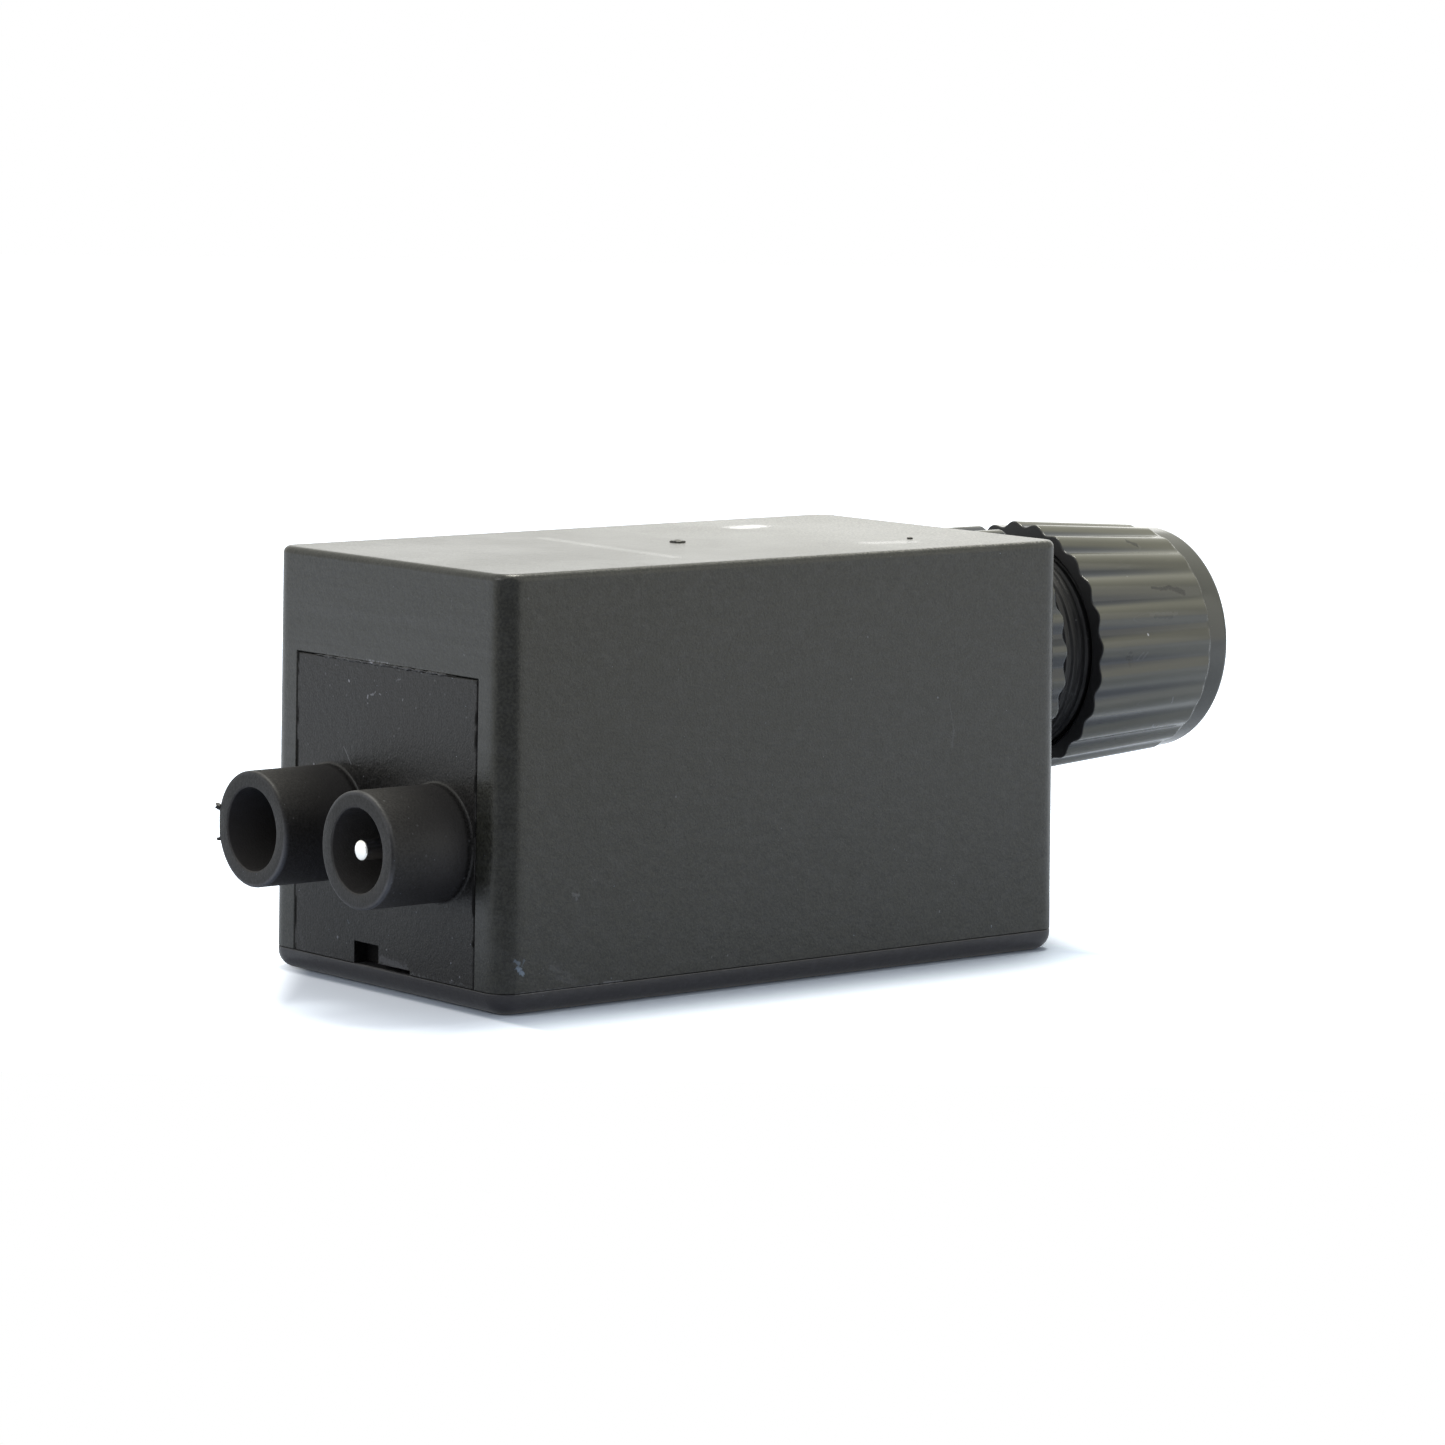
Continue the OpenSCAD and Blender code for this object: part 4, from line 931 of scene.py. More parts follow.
class Graph:
    """Short calls that add shader nodes to a tree and link them."""

    def __init__(self, tree):
        self.tree = tree

    def add(self, kind, inputs=None, **settings):
        node = self.tree.nodes.new(kind)
        for key, value in settings.items():
            setattr(node, key, value)
        for key, value in (inputs or {}).items():
            self.feed(node.inputs[key], value)
        return node

    def feed(self, socket, value):
        if isinstance(value, bpy.types.NodeSocket):
            self.tree.links.new(value, socket)
        else:
            socket.default_value = value

    def math(self, operation, *values, clamp=False):
        node = self.add("ShaderNodeMath", operation=operation, use_clamp=clamp)
        for socket, value in zip(node.inputs, values):
            self.feed(socket, value)
        return node.outputs[0]

    def times(self, a, b):
        return self.math("MULTIPLY", a, b)

    def line(self, value, slope, start, clamp=False):
        return self.math("MULTIPLY_ADD", value, slope, start, clamp=clamp)

    def most(self, first, *others):
        for value in others:
            first = self.math("MAXIMUM", first, value)
        return first

    def rest(self, share):
        return self.math("SUBTRACT", 1.0, share)

    def vector(self, operation, *values, out=0):
        node = self.add("ShaderNodeVectorMath", operation=operation)
        for socket, value in zip(node.inputs, values):
            self.feed(socket, value)
        return node.outputs[out]

    def split(self, vector):
        return self.add("ShaderNodeSeparateXYZ", {0: vector}).outputs

    def off_axis(self, place, y, z):
        """Distance from an axis along X."""
        across = self.vector("MULTIPLY", self.vector("SUBTRACT", place, (0.0, y, z)), (0.0, 1.0, 1.0))
        return self.vector("LENGTH", across, out=1)

    def ramp(self, value, low, high, to_low=0.0, to_high=1.0, kind="SMOOTHSTEP"):
        inputs = {0: value, 1: low, 2: high, 3: to_low, 4: to_high}
        return self.add("ShaderNodeMapRange", inputs, interpolation_type=kind).outputs[0]

    def blend(self, factor, a, b):
        node = self.add("ShaderNodeMix", {0: factor, 6: a, 7: b}, data_type="RGBA")
        return node.outputs[2]

    def noise(self, vector, scale, detail=2.0, roughness=0.5):
        inputs = {"Vector": vector, "Scale": scale, "Detail": detail, "Roughness": roughness}
        return self.add("ShaderNodeTexNoise", inputs).outputs[0]

    def group(self, tree, **inputs):
        node = self.add("ShaderNodeGroup", node_tree=tree)
        for key, value in inputs.items():
            self.feed(node.inputs[key], value)
        return node


def new_group(name, inputs, outputs):
    """An empty node group with float or vector inputs and float outputs, its graph and its two ends."""
    tree = bpy.data.node_groups.new(name, "ShaderNodeTree")
    for key, value in inputs.items():
        kind = "NodeSocketFloat" if isinstance(value, float) else "NodeSocketVector"
        tree.interface.new_socket(key, in_out="INPUT", socket_type=kind).default_value = value
    for key in outputs:
        tree.interface.new_socket(key, in_out="OUTPUT", socket_type="NodeSocketFloat")
    graph = Graph(tree)
    return tree, graph, graph.add("NodeGroupInput").outputs, graph.add("NodeGroupOutput").inputs


def grain_group():
    """Moulded grain: two scales of noise for the height, the finer again as a tone, and a slow tone."""
    inputs = {"Vector": (0, 0, 0), "Scale": 2500.0}
    tree, graph, given, out = new_group("moulded_grain", inputs, ("Height", "Tone", "Fine"))
    fine = graph.noise(given["Vector"], given["Scale"], 2.0, 0.6)
    coarse = graph.noise(given["Vector"], graph.times(given["Scale"], 0.28), 2.0)
    graph.feed(out["Height"], graph.line(coarse, 1.2, fine))
    slow = graph.noise(given["Vector"], graph.times(given["Scale"], 0.02), 3.0, 0.55)
    graph.feed(out["Tone"], graph.ramp(slow, 0.3, 0.7))
    graph.feed(out["Fine"], graph.ramp(fine, 0.3, 0.7))
    return tree


def dust_group():
    """Dust specks: a few cells of a cell pattern hold a speck, whose radius differs from cell to cell."""
    inputs = {"Vector": (0, 0, 0), "Scale": 500.0, "Share": 0.1, "Size": 0.2}
    tree, graph, given, out = new_group("dust_specks", inputs, ("Mask",))
    pattern = {"Vector": given["Vector"], "Scale": given["Scale"], "Randomness": 1.0}
    cells = graph.add("ShaderNodeTexVoronoi", pattern)
    parts = graph.add("ShaderNodeSeparateColor", {0: cells.outputs["Color"]})
    chosen = graph.math("LESS_THAN", parts.outputs[0], given["Share"])
    radius = graph.times(given["Size"], graph.line(parts.outputs[1], 0.8, 0.2))
    inside = graph.ramp(cells.outputs["Distance"], radius, graph.times(radius, 0.5))
    graph.feed(out["Mask"], graph.times(chosen, inside))
    return tree


def scratch_group():
    """Hairline scratches: thin level lines of a stretched noise, broken up by a second noise."""
    inputs = {"Vector": (0, 0, 0), "Stretch": (40.0, 900.0, 60.0), "Width": 0.004, "Share": 0.5}
    tree, graph, given, out = new_group("hair_scratches", inputs, ("Mask",))
    pulled = graph.vector("MULTIPLY", given["Vector"], given["Stretch"])
    level = graph.math("ABSOLUTE", graph.math("SUBTRACT", graph.noise(pulled, 1.0, 0.0), 0.5))
    line = graph.ramp(level, given["Width"], 0.0)
    gate = graph.noise(given["Vector"], 130.0, 2.0)
    broken = graph.ramp(gate, graph.rest(given["Share"]), graph.math("SUBTRACT", 1.1, given["Share"]))
    graph.feed(out["Mask"], graph.times(line, broken))
    return tree


def mark_group():
    """One mark: the distance to the line between two points, roughened by noise, against a width."""
    inputs = {"Vector": (0, 0, 0), "From": (0, 0, 0), "To": (0, 0, 0), "Width": 0.0002, "Ragged": 0.5}
    tree, graph, given, out = new_group("single_mark", inputs, ("Mask",))
    run = graph.vector("SUBTRACT", given["To"], given["From"])
    off = graph.vector("SUBTRACT", given["Vector"], given["From"])
    square = graph.most(graph.vector("DOT_PRODUCT", run, run, out=1), 1e-12)
    t = graph.math("DIVIDE", graph.vector("DOT_PRODUCT", off, run, out=1), square, clamp=True)
    scaled = graph.add("ShaderNodeVectorMath", {0: run, "Scale": t}, operation="SCALE").outputs[0]
    gap = graph.vector("LENGTH", graph.vector("SUBTRACT", off, scaled), out=1)
    ripple = graph.math("SUBTRACT", graph.noise(given["Vector"], 2200.0, 2.0), 0.5)
    rough = graph.times(ripple, given["Ragged"])
    width = graph.times(given["Width"], graph.line(rough, 2.0, 1.0))
    graph.feed(out["Mask"], graph.ramp(gap, width, graph.times(width, 0.35)))
    return tree


def shared(name, maker):
    """A node group, made the first time it is asked for."""
    return bpy.data.node_groups.get(name) or maker()


class Finish:
    """A material under way: its graph, its Object coordinates, and the grain, dust and marks laid on it."""

    def __init__(self, name):
        self.material = bpy.data.materials.new(name)
        self.material.use_nodes = True
        self.graph = Graph(self.material.node_tree)
        self.shader = self.material.node_tree.nodes["Principled BSDF"]
        self.place = self.graph.add("ShaderNodeTexCoord").outputs["Object"]

    def grain(self, scale):
        node = self.graph.group(shared("moulded_grain", grain_group), Vector=self.place, Scale=scale)
        return [node.outputs[key] for key in ("Height", "Tone", "Fine")]

    def mask(self, name, maker, **inputs):
        node = self.graph.group(shared(name, maker), Vector=self.place, **inputs)
        return node.outputs["Mask"]

    def dust(self, scale, share, size):
        return self.mask("dust_specks", dust_group, Scale=scale, Share=share, Size=size)

    def scratches(self, stretch, width, share):
        return self.mask("hair_scratches", scratch_group, Stretch=stretch, Width=width, Share=share)

    def marks(self, lines, flat=(1.0, 1.0, 1.0)):
        """The strongest of several single marks. Each is (from, to, width, ragged, strength), in millimetres.

        flat shortens distances along an axis, so that a mark reaches over the lobes under it.
        """
        tree, total = shared("single_mark", mark_group), 0.0
        place = self.graph.vector("MULTIPLY", self.place, flat)
        for start, end, width, ragged, strength in lines:
            ends = [tuple(v * f * MM for v, f in zip(point, flat)) for point in (start, end)]
            sizes = {"Width": width * MM, "Ragged": ragged}
            node = self.graph.group(tree, Vector=place, From=ends[0], To=ends[1], **sizes)
            total = self.graph.most(total, self.graph.times(node.outputs["Mask"], strength))
        return total

    def close(self, base, roughness, height=None, depth=0.0, metallic=0.0, ior=1.5):
        """Feeds the shader and returns the material. depth is the bump's height in millimetres."""
        self.graph.feed(self.shader.inputs["Base Color"], base)
        self.graph.feed(self.shader.inputs["Roughness"], roughness)
        self.shader.inputs["Metallic"].default_value = metallic
        self.shader.inputs["IOR"].default_value = ior
        if height is not None:
            relief = {"Strength": 1.0, "Distance": depth * MM, "Height": height}
            bump = self.graph.add("ShaderNodeBump", relief)
            self.graph.feed(self.shader.inputs["Normal"], bump.outputs["Normal"])
        return self.material


def tint(value, factor=1.0):
    """A colour setting as a node colour, made lighter or darker by a factor."""
    return (*[min(v * factor, 1.0) for v in value], 1.0)


FRONT_X = -52.7  # The leaning front face, in millimetres


def case_finish(colours):
    """Satin moulded black: fine grain, slow changes of tone, dust, smooth patches where the roof sank, and a
    painted sheen on the roof.
    """
    finish = Finish("case_black")
    graph = finish.graph
    height, tone, fine = finish.grain(2600.0)
    specks = finish.dust(330.0, 0.03, 0.08)
    rubbed = graph.noise(graph.vector("MULTIPLY", finish.place, (400.0, 30.0, 700.0)), 1.0, 3.0, 0.6)
    marks = finish.marks(
        [
            ((-40.1, -27.8, 16.4), (-39.3, -27.8, 16.3), 0.42, 1.3, 0.12),
            ((-39.7, -27.8, 15.9), (-39.6, -27.8, 15.7), 0.34, 1.0, 0.12),
            ((-44.0, -27.9, 6.4), (-40.6, -27.9, 5.0), 0.55, 1.5, 0.045),
            ((-42.6, -27.9, 4.8), (-40.0, -27.9, 4.0), 0.75, 1.5, 0.05),
            ((-34.6, -28.0, 3.3), (-31.4, -28.0, 3.3), 0.24, 1.8, 0.20),
            ((-51.0, -28.0, 3.2), (-33.0, -28.0, 3.2), 0.22, 1.5, 0.10),
            ((-21.75, -27.8, 28.9), (-21.75, -27.8, 28.8), 0.16, 0.8, 0.30),
            ((30.3, -27.7, 38.7), (31.2, -27.7, 34.8), 0.20, 1.6, 0.05),
            ((31.2, -27.7, 34.8), (30.9, -27.7, 32.4), 0.26, 1.5, 0.06),
            ((14.1, -27.6, 49.7), (14.1, -27.6, 49.6), 0.14, 0.8, 0.30),
            ((11.0, -27.6, 43.7), (11.0, -27.6, 43.6), 0.14, 0.8, 0.24),
            ((27.9, -27.7, 39.9), (27.9, -27.7, 39.8), 0.18, 0.8, 0.40),
            ((5.8, -27.7, 32.7), (5.8, -27.7, 32.6), 0.14, 0.8, 0.24),
            ((48.2, -27.7, 29.0), (48.3, -27.7, 28.4), 0.16, 1.2, 0.14),
            ((-14.9, -27.9, 5.3), (-15.0, -27.9, 5.1), 0.14, 0.8, 0.24),
            ((-11.9, -27.9, 5.2), (-12.0, -27.9, 5.0), 0.16, 0.9, 0.28),
            ((28.8, -27.9, 8.0), (28.8, -27.9, 7.8), 0.14, 0.8, 0.35),
            ((-52.6, -15.4, 57.6), (-52.8, -13.9, 47.9), 0.14, 1.6, 0.14),
            ((-52.7, 4.6, 47.3), (-52.7, -0.9, 47.25), 0.16, 1.7, 0.45),
            ((-52.7, -18.3, 50.2), (-52.7, -18.5, 50.1), 0.18, 0.9, 0.3),
            ((-52.7, 16.0, 47.3), (-52.7, -15.0, 47.3), 0.14, 1.6, 0.06),
        ]
    )
    flecks = finish.marks(
        [
            ((-50.4, -27.9, 7.9), (-49.8, -27.9, 7.5), 0.36, 1.7, 0.4),
            ((-48.9, -27.9, 7.9), (-49.2, -27.9, 7.2), 0.26, 1.6, 0.25),
            ((-50.0, -27.9, 6.8), (-49.1, -27.9, 6.0), 0.42, 1.6, 0.75),
        ]
    )
    smooth = finish.marks(
        [
            ((24.6, 14.6, 62.0), (28.6, 15.6, 62.0), 3.2, 0.9, 0.85),
            ((24.8, -15.6, 62.0), (31.0, -16.6, 62.0), 2.8, 0.9, 0.3),
            ((-12.3, 15.9, 62.0), (-14.6, -17.9, 62.0), 1.7, 1.2, 0.2),
        ]
    )
    pale = graph.most(graph.times(specks, 0.12), marks)
    mottle = graph.line(fine, 0.9, graph.times(tone, 0.1))
    body = graph.blend(mottle, tint(colours.case, 0.4), tint(colours.case, 1.6))
    spot = graph.split(finish.place)
    body = graph.blend(graph.ramp(spot["Z"], CASE_LOW[2] + 0.05 * MM, CASE_LOW[2]), body, tint(colours.base))
    body = graph.blend(graph.ramp(rubbed, 0.42, 0.66, 0.0, 0.018), body, tint(colours.dust))
    base = graph.blend(pale, body, tint(colours.dust))
    base = graph.blend(flecks, base, tint(colours.fleck))
    # Painted sheen: the roof is painted paler and warmer towards the gland, in a grainy pattern
    roof = graph.ramp(spot["Z"], CASE_HIGH[2] - 0.3 * MM, CASE_HIGH[2] - 0.1 * MM)
    to_gland = graph.ramp(spot["X"], 0.8 * CASE_LOW[0], CASE_HIGH[0], 0.0, 0.3)
    sheen = graph.times(graph.ramp(fine, 0.2, 0.9), to_gland)
    base = graph.blend(graph.times(roof, sheen), base, tint(colours.sheen))
    rough = graph.line(fine, 0.06, graph.line(tone, 0.04, 0.28))
    rough = graph.line(pale, 0.3, rough)
    rough = graph.line(smooth, -0.22, rough, clamp=True)
    height = graph.times(height, graph.line(smooth, -0.9, 1.0))
    wave = graph.times(graph.noise(finish.place, 900.0, 1.0), 0.5)
    height = graph.line(roof, wave, height)
    return finish.close(base, rough, height, 0.032)


def on_front(marks):
    """Marks on the socket front, from rows that give their ends as (y, z)."""
    return [((FRONT_X, *start), (FRONT_X, *end), *rest) for start, end, *rest in marks]


def panel_finish(colours, panel):
    """The socket front's black: a little greyer and duller, with more dust and a few scratches. Painted light
    lightens the bores, lightens the tubes towards the wall and adds a highlight round each mouth; painted
    shade darkens the notch and the panel's sides.
    """
    finish = Finish("panel_black")
    graph = finish.graph
    height, tone, fine = finish.grain(3000.0)
    powder = finish.dust(950.0, 0.34, 0.26)
    specks = finish.dust(450.0, 0.26, 0.13)
    hair = finish.scratches((40.0, 120.0, 500.0), 0.006, 0.40)
    seam_marks = [
        ((-52.9, 3.4, 47.0), (-52.9, 3.1, 47.0), 0.30, 0.9, 0.7),
        ((-52.9, 17.0, 47.0), (-52.9, -14.0, 47.0), 0.40, 1.9, 0.10),
    ]
    front_marks = on_front(
        [
            ((9.9, 34.2), (8.1, 31.9), 0.14, 1.2, 0.25),
            ((8.9, 43.9), (8.8, 43.8), 0.20, 0.9, 0.7),
            ((4.3, 41.9), (4.2, 42.2), 0.20, 0.8, 0.6),
            ((3.5, 42.4), (2.9, 42.5), 0.18, 1.6, 0.45),
            ((2.6, 42.7), (2.4, 42.9), 0.16, 1.2, 0.4),
            ((1.4, 42.7), (1.2, 42.6), 0.16, 0.9, 0.4),
            ((-4.1, 42.3), (-4.2, 42.5), 0.16, 0.9, 0.35),
            ((-2.6, 45.0), (-3.6, 45.3), 0.16, 1.8, 0.20),
            ((0.2, 4.6), (-5.6, 4.1), 0.90, 1.3, 0.12),
            ((-1.2, 3.9), (-4.6, 3.8), 0.50, 1.6, 0.15),
            ((20.5, 6.5), (19.0, 2.6), 0.80, 1.6, 0.03),
            ((20.5, 3.5), (8.0, 3.5), 0.30, 1.9, 0.06),
            ((-7.0, 3.5), (-21.0, 3.6), 0.40, 1.9, 0.12),
            ((-21.2, 12.0), (-21.2, 4.0), 0.25, 1.9, 0.05),
        ]
    )
    marks = finish.marks(front_marks + seam_marks)
    dust = graph.most(graph.times(powder, 0.13), graph.times(specks, 0.50))
    pale = graph.most(dust, marks, graph.times(hair, 0.04))
    mottle = graph.line(fine, 0.7, graph.times(tone, 0.3))
    body = graph.blend(mottle, tint(colours.panel, 0.05), tint(colours.panel, 1.75))
    base = graph.blend(pale, body, tint(colours.dust))
    front_flecks = on_front(
        [
            ((10.6, 11.5), (8.6, 9.6), 0.22, 1.7, 0.40),
            ((8.6, 9.6), (8.2, 8.8), 0.34, 1.9, 0.35),
            ((9.2, 8.0), (9.9, 7.1), 0.20, 1.8, 0.25),
            ((5.4, 10.0), (4.8, 7.6), 0.14, 1.9, 0.25),
        ]
    )
    base = graph.blend(finish.marks(front_flecks), base, tint(colours.fleck))
    tube_r, half_w = panel.tube_d / 2, panel.window_w / 2 - panel.gap
    axes = [graph.off_axis(finish.place, *axis) for axis in (PIN_AXIS, SPARE_AXIS)]
    off_tubes = graph.math("MINIMUM", *axes)
    in_bore = graph.math("LESS_THAN", off_tubes, panel.bore_d / 2 + 0.1 * MM)
    spot = graph.split(finish.place)
    in_bore = graph.times(in_bore, graph.math("LESS_THAN", spot["X"], CASE_LOW[0]))
    # Painted light: the inside of the bores is painted three times lighter than the panel, for light that
    # reaches into them
    base = graph.blend(in_bore, base, tint(colours.panel, 3.0))
    on_tube = graph.ramp(spot["X"], CASE_LOW[0] - 0.4 * MM, CASE_LOW[0] - 1.2 * MM)
    on_tube = graph.times(on_tube, graph.rest(in_bore))
    # Painted light: the tubes are painted lighter towards the front wall, making up for the wall's shade on
    # them
    to_wall = graph.ramp(spot["X"], PANEL_LOW[0] + 3.0 * MM, CASE_LOW[0] - 3.0 * MM, 0.25, 0.9)
    base = graph.blend(graph.times(on_tube, to_wall), base, tint(colours.panel, 2.3))
    # Painted highlight: a pale line round the outer edge of each tube's mouth, where the rounded edge catches
    # the light
    rim_highlight = graph.ramp(off_tubes, tube_r - 0.7 * MM, tube_r - 0.2 * MM, 0.0, 0.22)
    rim_highlight = graph.times(rim_highlight, graph.ramp(spot["X"], PANEL_LOW[0] + 0.9 * MM, PANEL_LOW[0] + 0.3 * MM))
    base = graph.blend(graph.times(rim_highlight, tone), base, tint(colours.dust))
    # Painted shade: the notch behind the front face, and a ragged band along the panel's sides by the seam,
    # are painted near black
    notch_and_side_shade = graph.math("LESS_THAN", spot["Z"], PANEL_LOW[2] + panel.notch_h + 0.1 * MM)
    notch_and_side_shade = graph.times(notch_and_side_shade, graph.ramp(spot["X"], CASE_LOW[0] + 0.25 * MM, CASE_LOW[0] + 1.0 * MM))
    ragged = graph.ramp(graph.noise(finish.place, 330.0, 4.0), 0.46, 0.58)
    to_side = graph.math("ABSOLUTE", spot["Y"])
    ragged = graph.times(ragged, graph.ramp(to_side, half_w - 0.6 * MM, half_w - 0.35 * MM))
    ragged = graph.times(ragged, graph.rest(on_tube))
    notch_and_side_shade = graph.most(notch_and_side_shade, ragged)
    base = graph.blend(notch_and_side_shade, base, tint(colours.panel, 0.1))
    rough = graph.line(tone, 0.06, 0.35)
    on_top = graph.ramp(spot["Z"], PIN_AXIS[1] + 1.0 * MM, PIN_AXIS[1] + 6.0 * MM, 0.15, 0.4)
    off_rim = graph.ramp(spot["X"], PANEL_LOW[0] + 0.2 * MM, PANEL_LOW[0] + 0.8 * MM, 0.4, 1.0)
    rough = graph.line(on_tube, graph.times(on_top, off_rim), rough)
    rough = graph.line(graph.most(pale, notch_and_side_shade), 0.5, rough, clamp=True)
    return finish.close(base, rough, height, 0.050, ior=1.385)


def gland_finish(colours, gland):
    """Smooth olive black nylon with a few scuffs, and painted shade in the valleys between the lobes, on the
    neck inside the nut and on the nut's end face.
    """
    finish = Finish("gland_black")
    graph = finish.graph
    height, tone, _ = finish.grain(1700.0)
    specks = finish.dust(420.0, 0.05, 0.08)
    hair = finish.scratches((60.0, 420.0, 420.0), 0.010, 0.45)
    across_lobes = (1.0, 0.1, 1.0)
    dark = finish.marks(
        [
            ((82.7, -15.5, 52.3), (84.6, -15.5, 52.0), 0.30, 0.6, 0.9),
            ((84.6, -15.5, 52.0), (86.5, -15.4, 52.1), 0.40, 0.6, 0.95),
            ((86.5, -15.4, 52.1), (88.1, -15.5, 51.7), 0.50, 0.6, 0.95),
            ((88.1, -15.5, 51.7), (89.7, -15.7, 51.1), 0.62, 0.6, 0.95),
            ((75.3, -18.8, 42.1), (75.9, -18.8, 41.5), 0.80, 1.9, 0.75),
            ((81.4, -17.5, 48.0), (85.4, -17.4, 47.8), 0.34, 1.9, 0.35),
            ((84.0, -8.1, 58.9), (85.6, -9.1, 58.2), 0.34, 1.4, 0.7),
            ((79.1, -12.5, 28.8), (79.3, -12.5, 28.6), 0.34, 0.7, 0.9),
        ],
        across_lobes,
    )
    light = finish.marks(
        [
            ((79.7, -18.3, 45.4), (79.7, -18.3, 45.3), 0.24, 0.8, 0.95),
            ((85.3, -13.3, 30.3), (86.6, -13.2, 29.9), 0.34, 1.9, 0.16),
            ((86.8, -16.3, 34.9), (87.0, -16.3, 34.2), 0.26, 1.8, 0.14),
            ((80.6, -17.6, 48.4), (86.4, -17.3, 48.2), 0.40, 1.9, 0.04),
            ((77.4, -18.7, 41.6), (78.4, -18.6, 42.6), 0.20, 1.9, 0.07),
            ((78.6, -18.7, 41.6), (79.4, -18.6, 42.6), 0.20, 1.9, 0.06),
        ],
        across_lobes,
    )
    body = graph.blend(tone, tint(colours.gland, 0.9), tint(colours.gland, 1.12))
    along, across = graph.split(finish.place)["X"], graph.off_axis(finish.place, 0.0, GLAND_Z)
    neck_r, crest = gland.neck_d / 2, (NUT_HIGH[1] - NUT_LOW[1]) / 2
    inside = graph.ramp(across, neck_r + 0.9 * MM, neck_r + 0.1 * MM)
    lobes_end = NUT_HIGH[0] - gland.smooth_l
    taper = graph.ramp(along, NUT_LOW[0], lobes_end, crest, crest - gland.close_in, kind="LINEAR")
    # Painted shade: the valleys between the lobes are painted dark and bluish
    below = graph.math("SUBTRACT", taper, across)
    valley = graph.ramp(below, 0.3 * MM, 0.75 * MM, 0.0, 0.95)
    body = graph.blend(valley, body, tint(colours.valley))
    # Painted shade: the neck inside the nut is painted at half the rubber colour, and the nut's end face,
    # which faces the case, at the full rubber colour
    behind = graph.math("GREATER_THAN", along, NUT_LOW[0] - 0.1 * MM)
    before = graph.math("LESS_THAN", along, NUT_LOW[0] + 0.12 * MM)
    face = graph.times(behind, before)
    neck_and_face_shade = graph.most(inside, face)
    body = graph.blend(neck_and_face_shade, body, graph.blend(face, tint(colours.rubber, 0.5), tint(colours.rubber, 1.0)))
    body = graph.blend(dark, body, tint(colours.gland, 0.15))
    pale = graph.most(graph.times(specks, 0.2), graph.times(hair, 0.04))
    base = graph.blend(graph.most(pale, light), body, tint(colours.dust))
    rough = graph.line(tone, 0.06, 0.13)
    rough = graph.line(neck_and_face_shade, 0.4, rough)
    rough = graph.line(pale, 0.3, rough, clamp=True)
    return finish.close(base, rough, height, 0.006)


def metal_finish(name, base, roughness, stain=0.14):
    """Bare or plated metal: fine drawn lines in the roughness, and slow stains in the colour."""
    finish = Finish(name)
    graph = finish.graph
    height, tone, _ = finish.grain(1400.0)
    lines = graph.noise(graph.vector("MULTIPLY", finish.place, (300.0, 6000.0, 6000.0)), 1.0, 2.0)
    body = graph.blend(tone, tint(base, 1 - stain), tint(base, 1.05))
    rough = graph.line(lines, 0.16, roughness - 0.08, clamp=True)
    return finish.close(body, rough, height, 0.002, metallic=1.0)


def plain_finish(name, base, roughness, scale=1500.0, depth=0.004, spread=0.14):
    """A moulded, pressed or coated surface: grain in the height, and slow changes of tone and gloss."""
    finish = Finish(name)
    graph = finish.graph
    height, tone, _ = finish.grain(scale)
    body = graph.blend(tone, tint(base, 1 - spread), tint(base, 1 + spread))
    rough = graph.line(tone, 0.1, roughness - 0.05, clamp=True)
    return finish.close(body, rough, height, depth)


def winding_finish(name, base):
    """Enamelled copper wire: fine turns along Y in the height and in the tone."""
    finish = Finish(name)
    graph = finish.graph
    wave = {"Vector": finish.place, "Scale": 520.0, "Distortion": 0.4}
    turns = graph.add("ShaderNodeTexWave", wave, bands_direction="Y").outputs["Fac"]
    body = graph.blend(turns, tint(base, 0.35), tint(base))
    rough = graph.line(turns, -0.15, 0.45)
    return finish.close(body, rough, turns, 0.05, metallic=0.6)


def slot_finishes(unit):
    """The finish of each material slot that the record names."""
    colours = unit.colours
    return {
        "case_plastic": case_finish(colours),
        "panel_plastic": panel_finish(colours, unit.panel),
        "gland_plastic": gland_finish(colours, unit.gland),
        "pin_metal": metal_finish("plated_pin", colours.pin, 0.18, 0.03),
        "spring_steel": metal_finish("spring_steel_bare", colours.steel, 0.32),
        "insert_brass": metal_finish("turned_brass", colours.brass, 0.3),
        "seal_rubber": plain_finish("seal_black", colours.rubber, 0.65, 2200.0, 0.01),
        "board_laminate": plain_finish("board_green", (0.030, 0.105, 0.040), 0.42, 900.0, 0.01),
        "block_plastic": plain_finish("block_grey", (0.24, 0.25, 0.26), 0.5),
        "core_ferrite": plain_finish("ferrite_dark", (0.045, 0.043, 0.046), 0.6, 1800.0, 0.02),
        "former_plastic": plain_finish("former_cream", (0.52, 0.46, 0.34), 0.5),
        "winding_copper": winding_finish("enamelled_copper", (0.50, 0.17, 0.055)),
        "storage_case": plain_finish("storage_blue", (0.030, 0.060, 0.16), 0.4),
        "suppression_case": plain_finish("suppression_yellow", (0.55, 0.36, 0.045), 0.42),
        "resistor_ceramic": plain_finish("resistor_white", (0.55, 0.54, 0.50), 0.7, 1300.0, 0.02),
        "part_epoxy": plain_finish("epoxy_black", (0.020, 0.020, 0.021), 0.5),
        "lead_insulation": plain_finish("lead_red", (0.30, 0.022, 0.018), 0.45),
    }


def finish_of(slot):
    """The finish made for a material slot."""
    return bpy.data.materials[bpy.context.scene["slot_finish"][slot]]


# Operators


def settings(context):
    """The settings of the scene's ignition unit."""
    return context.scene.ignition_unit


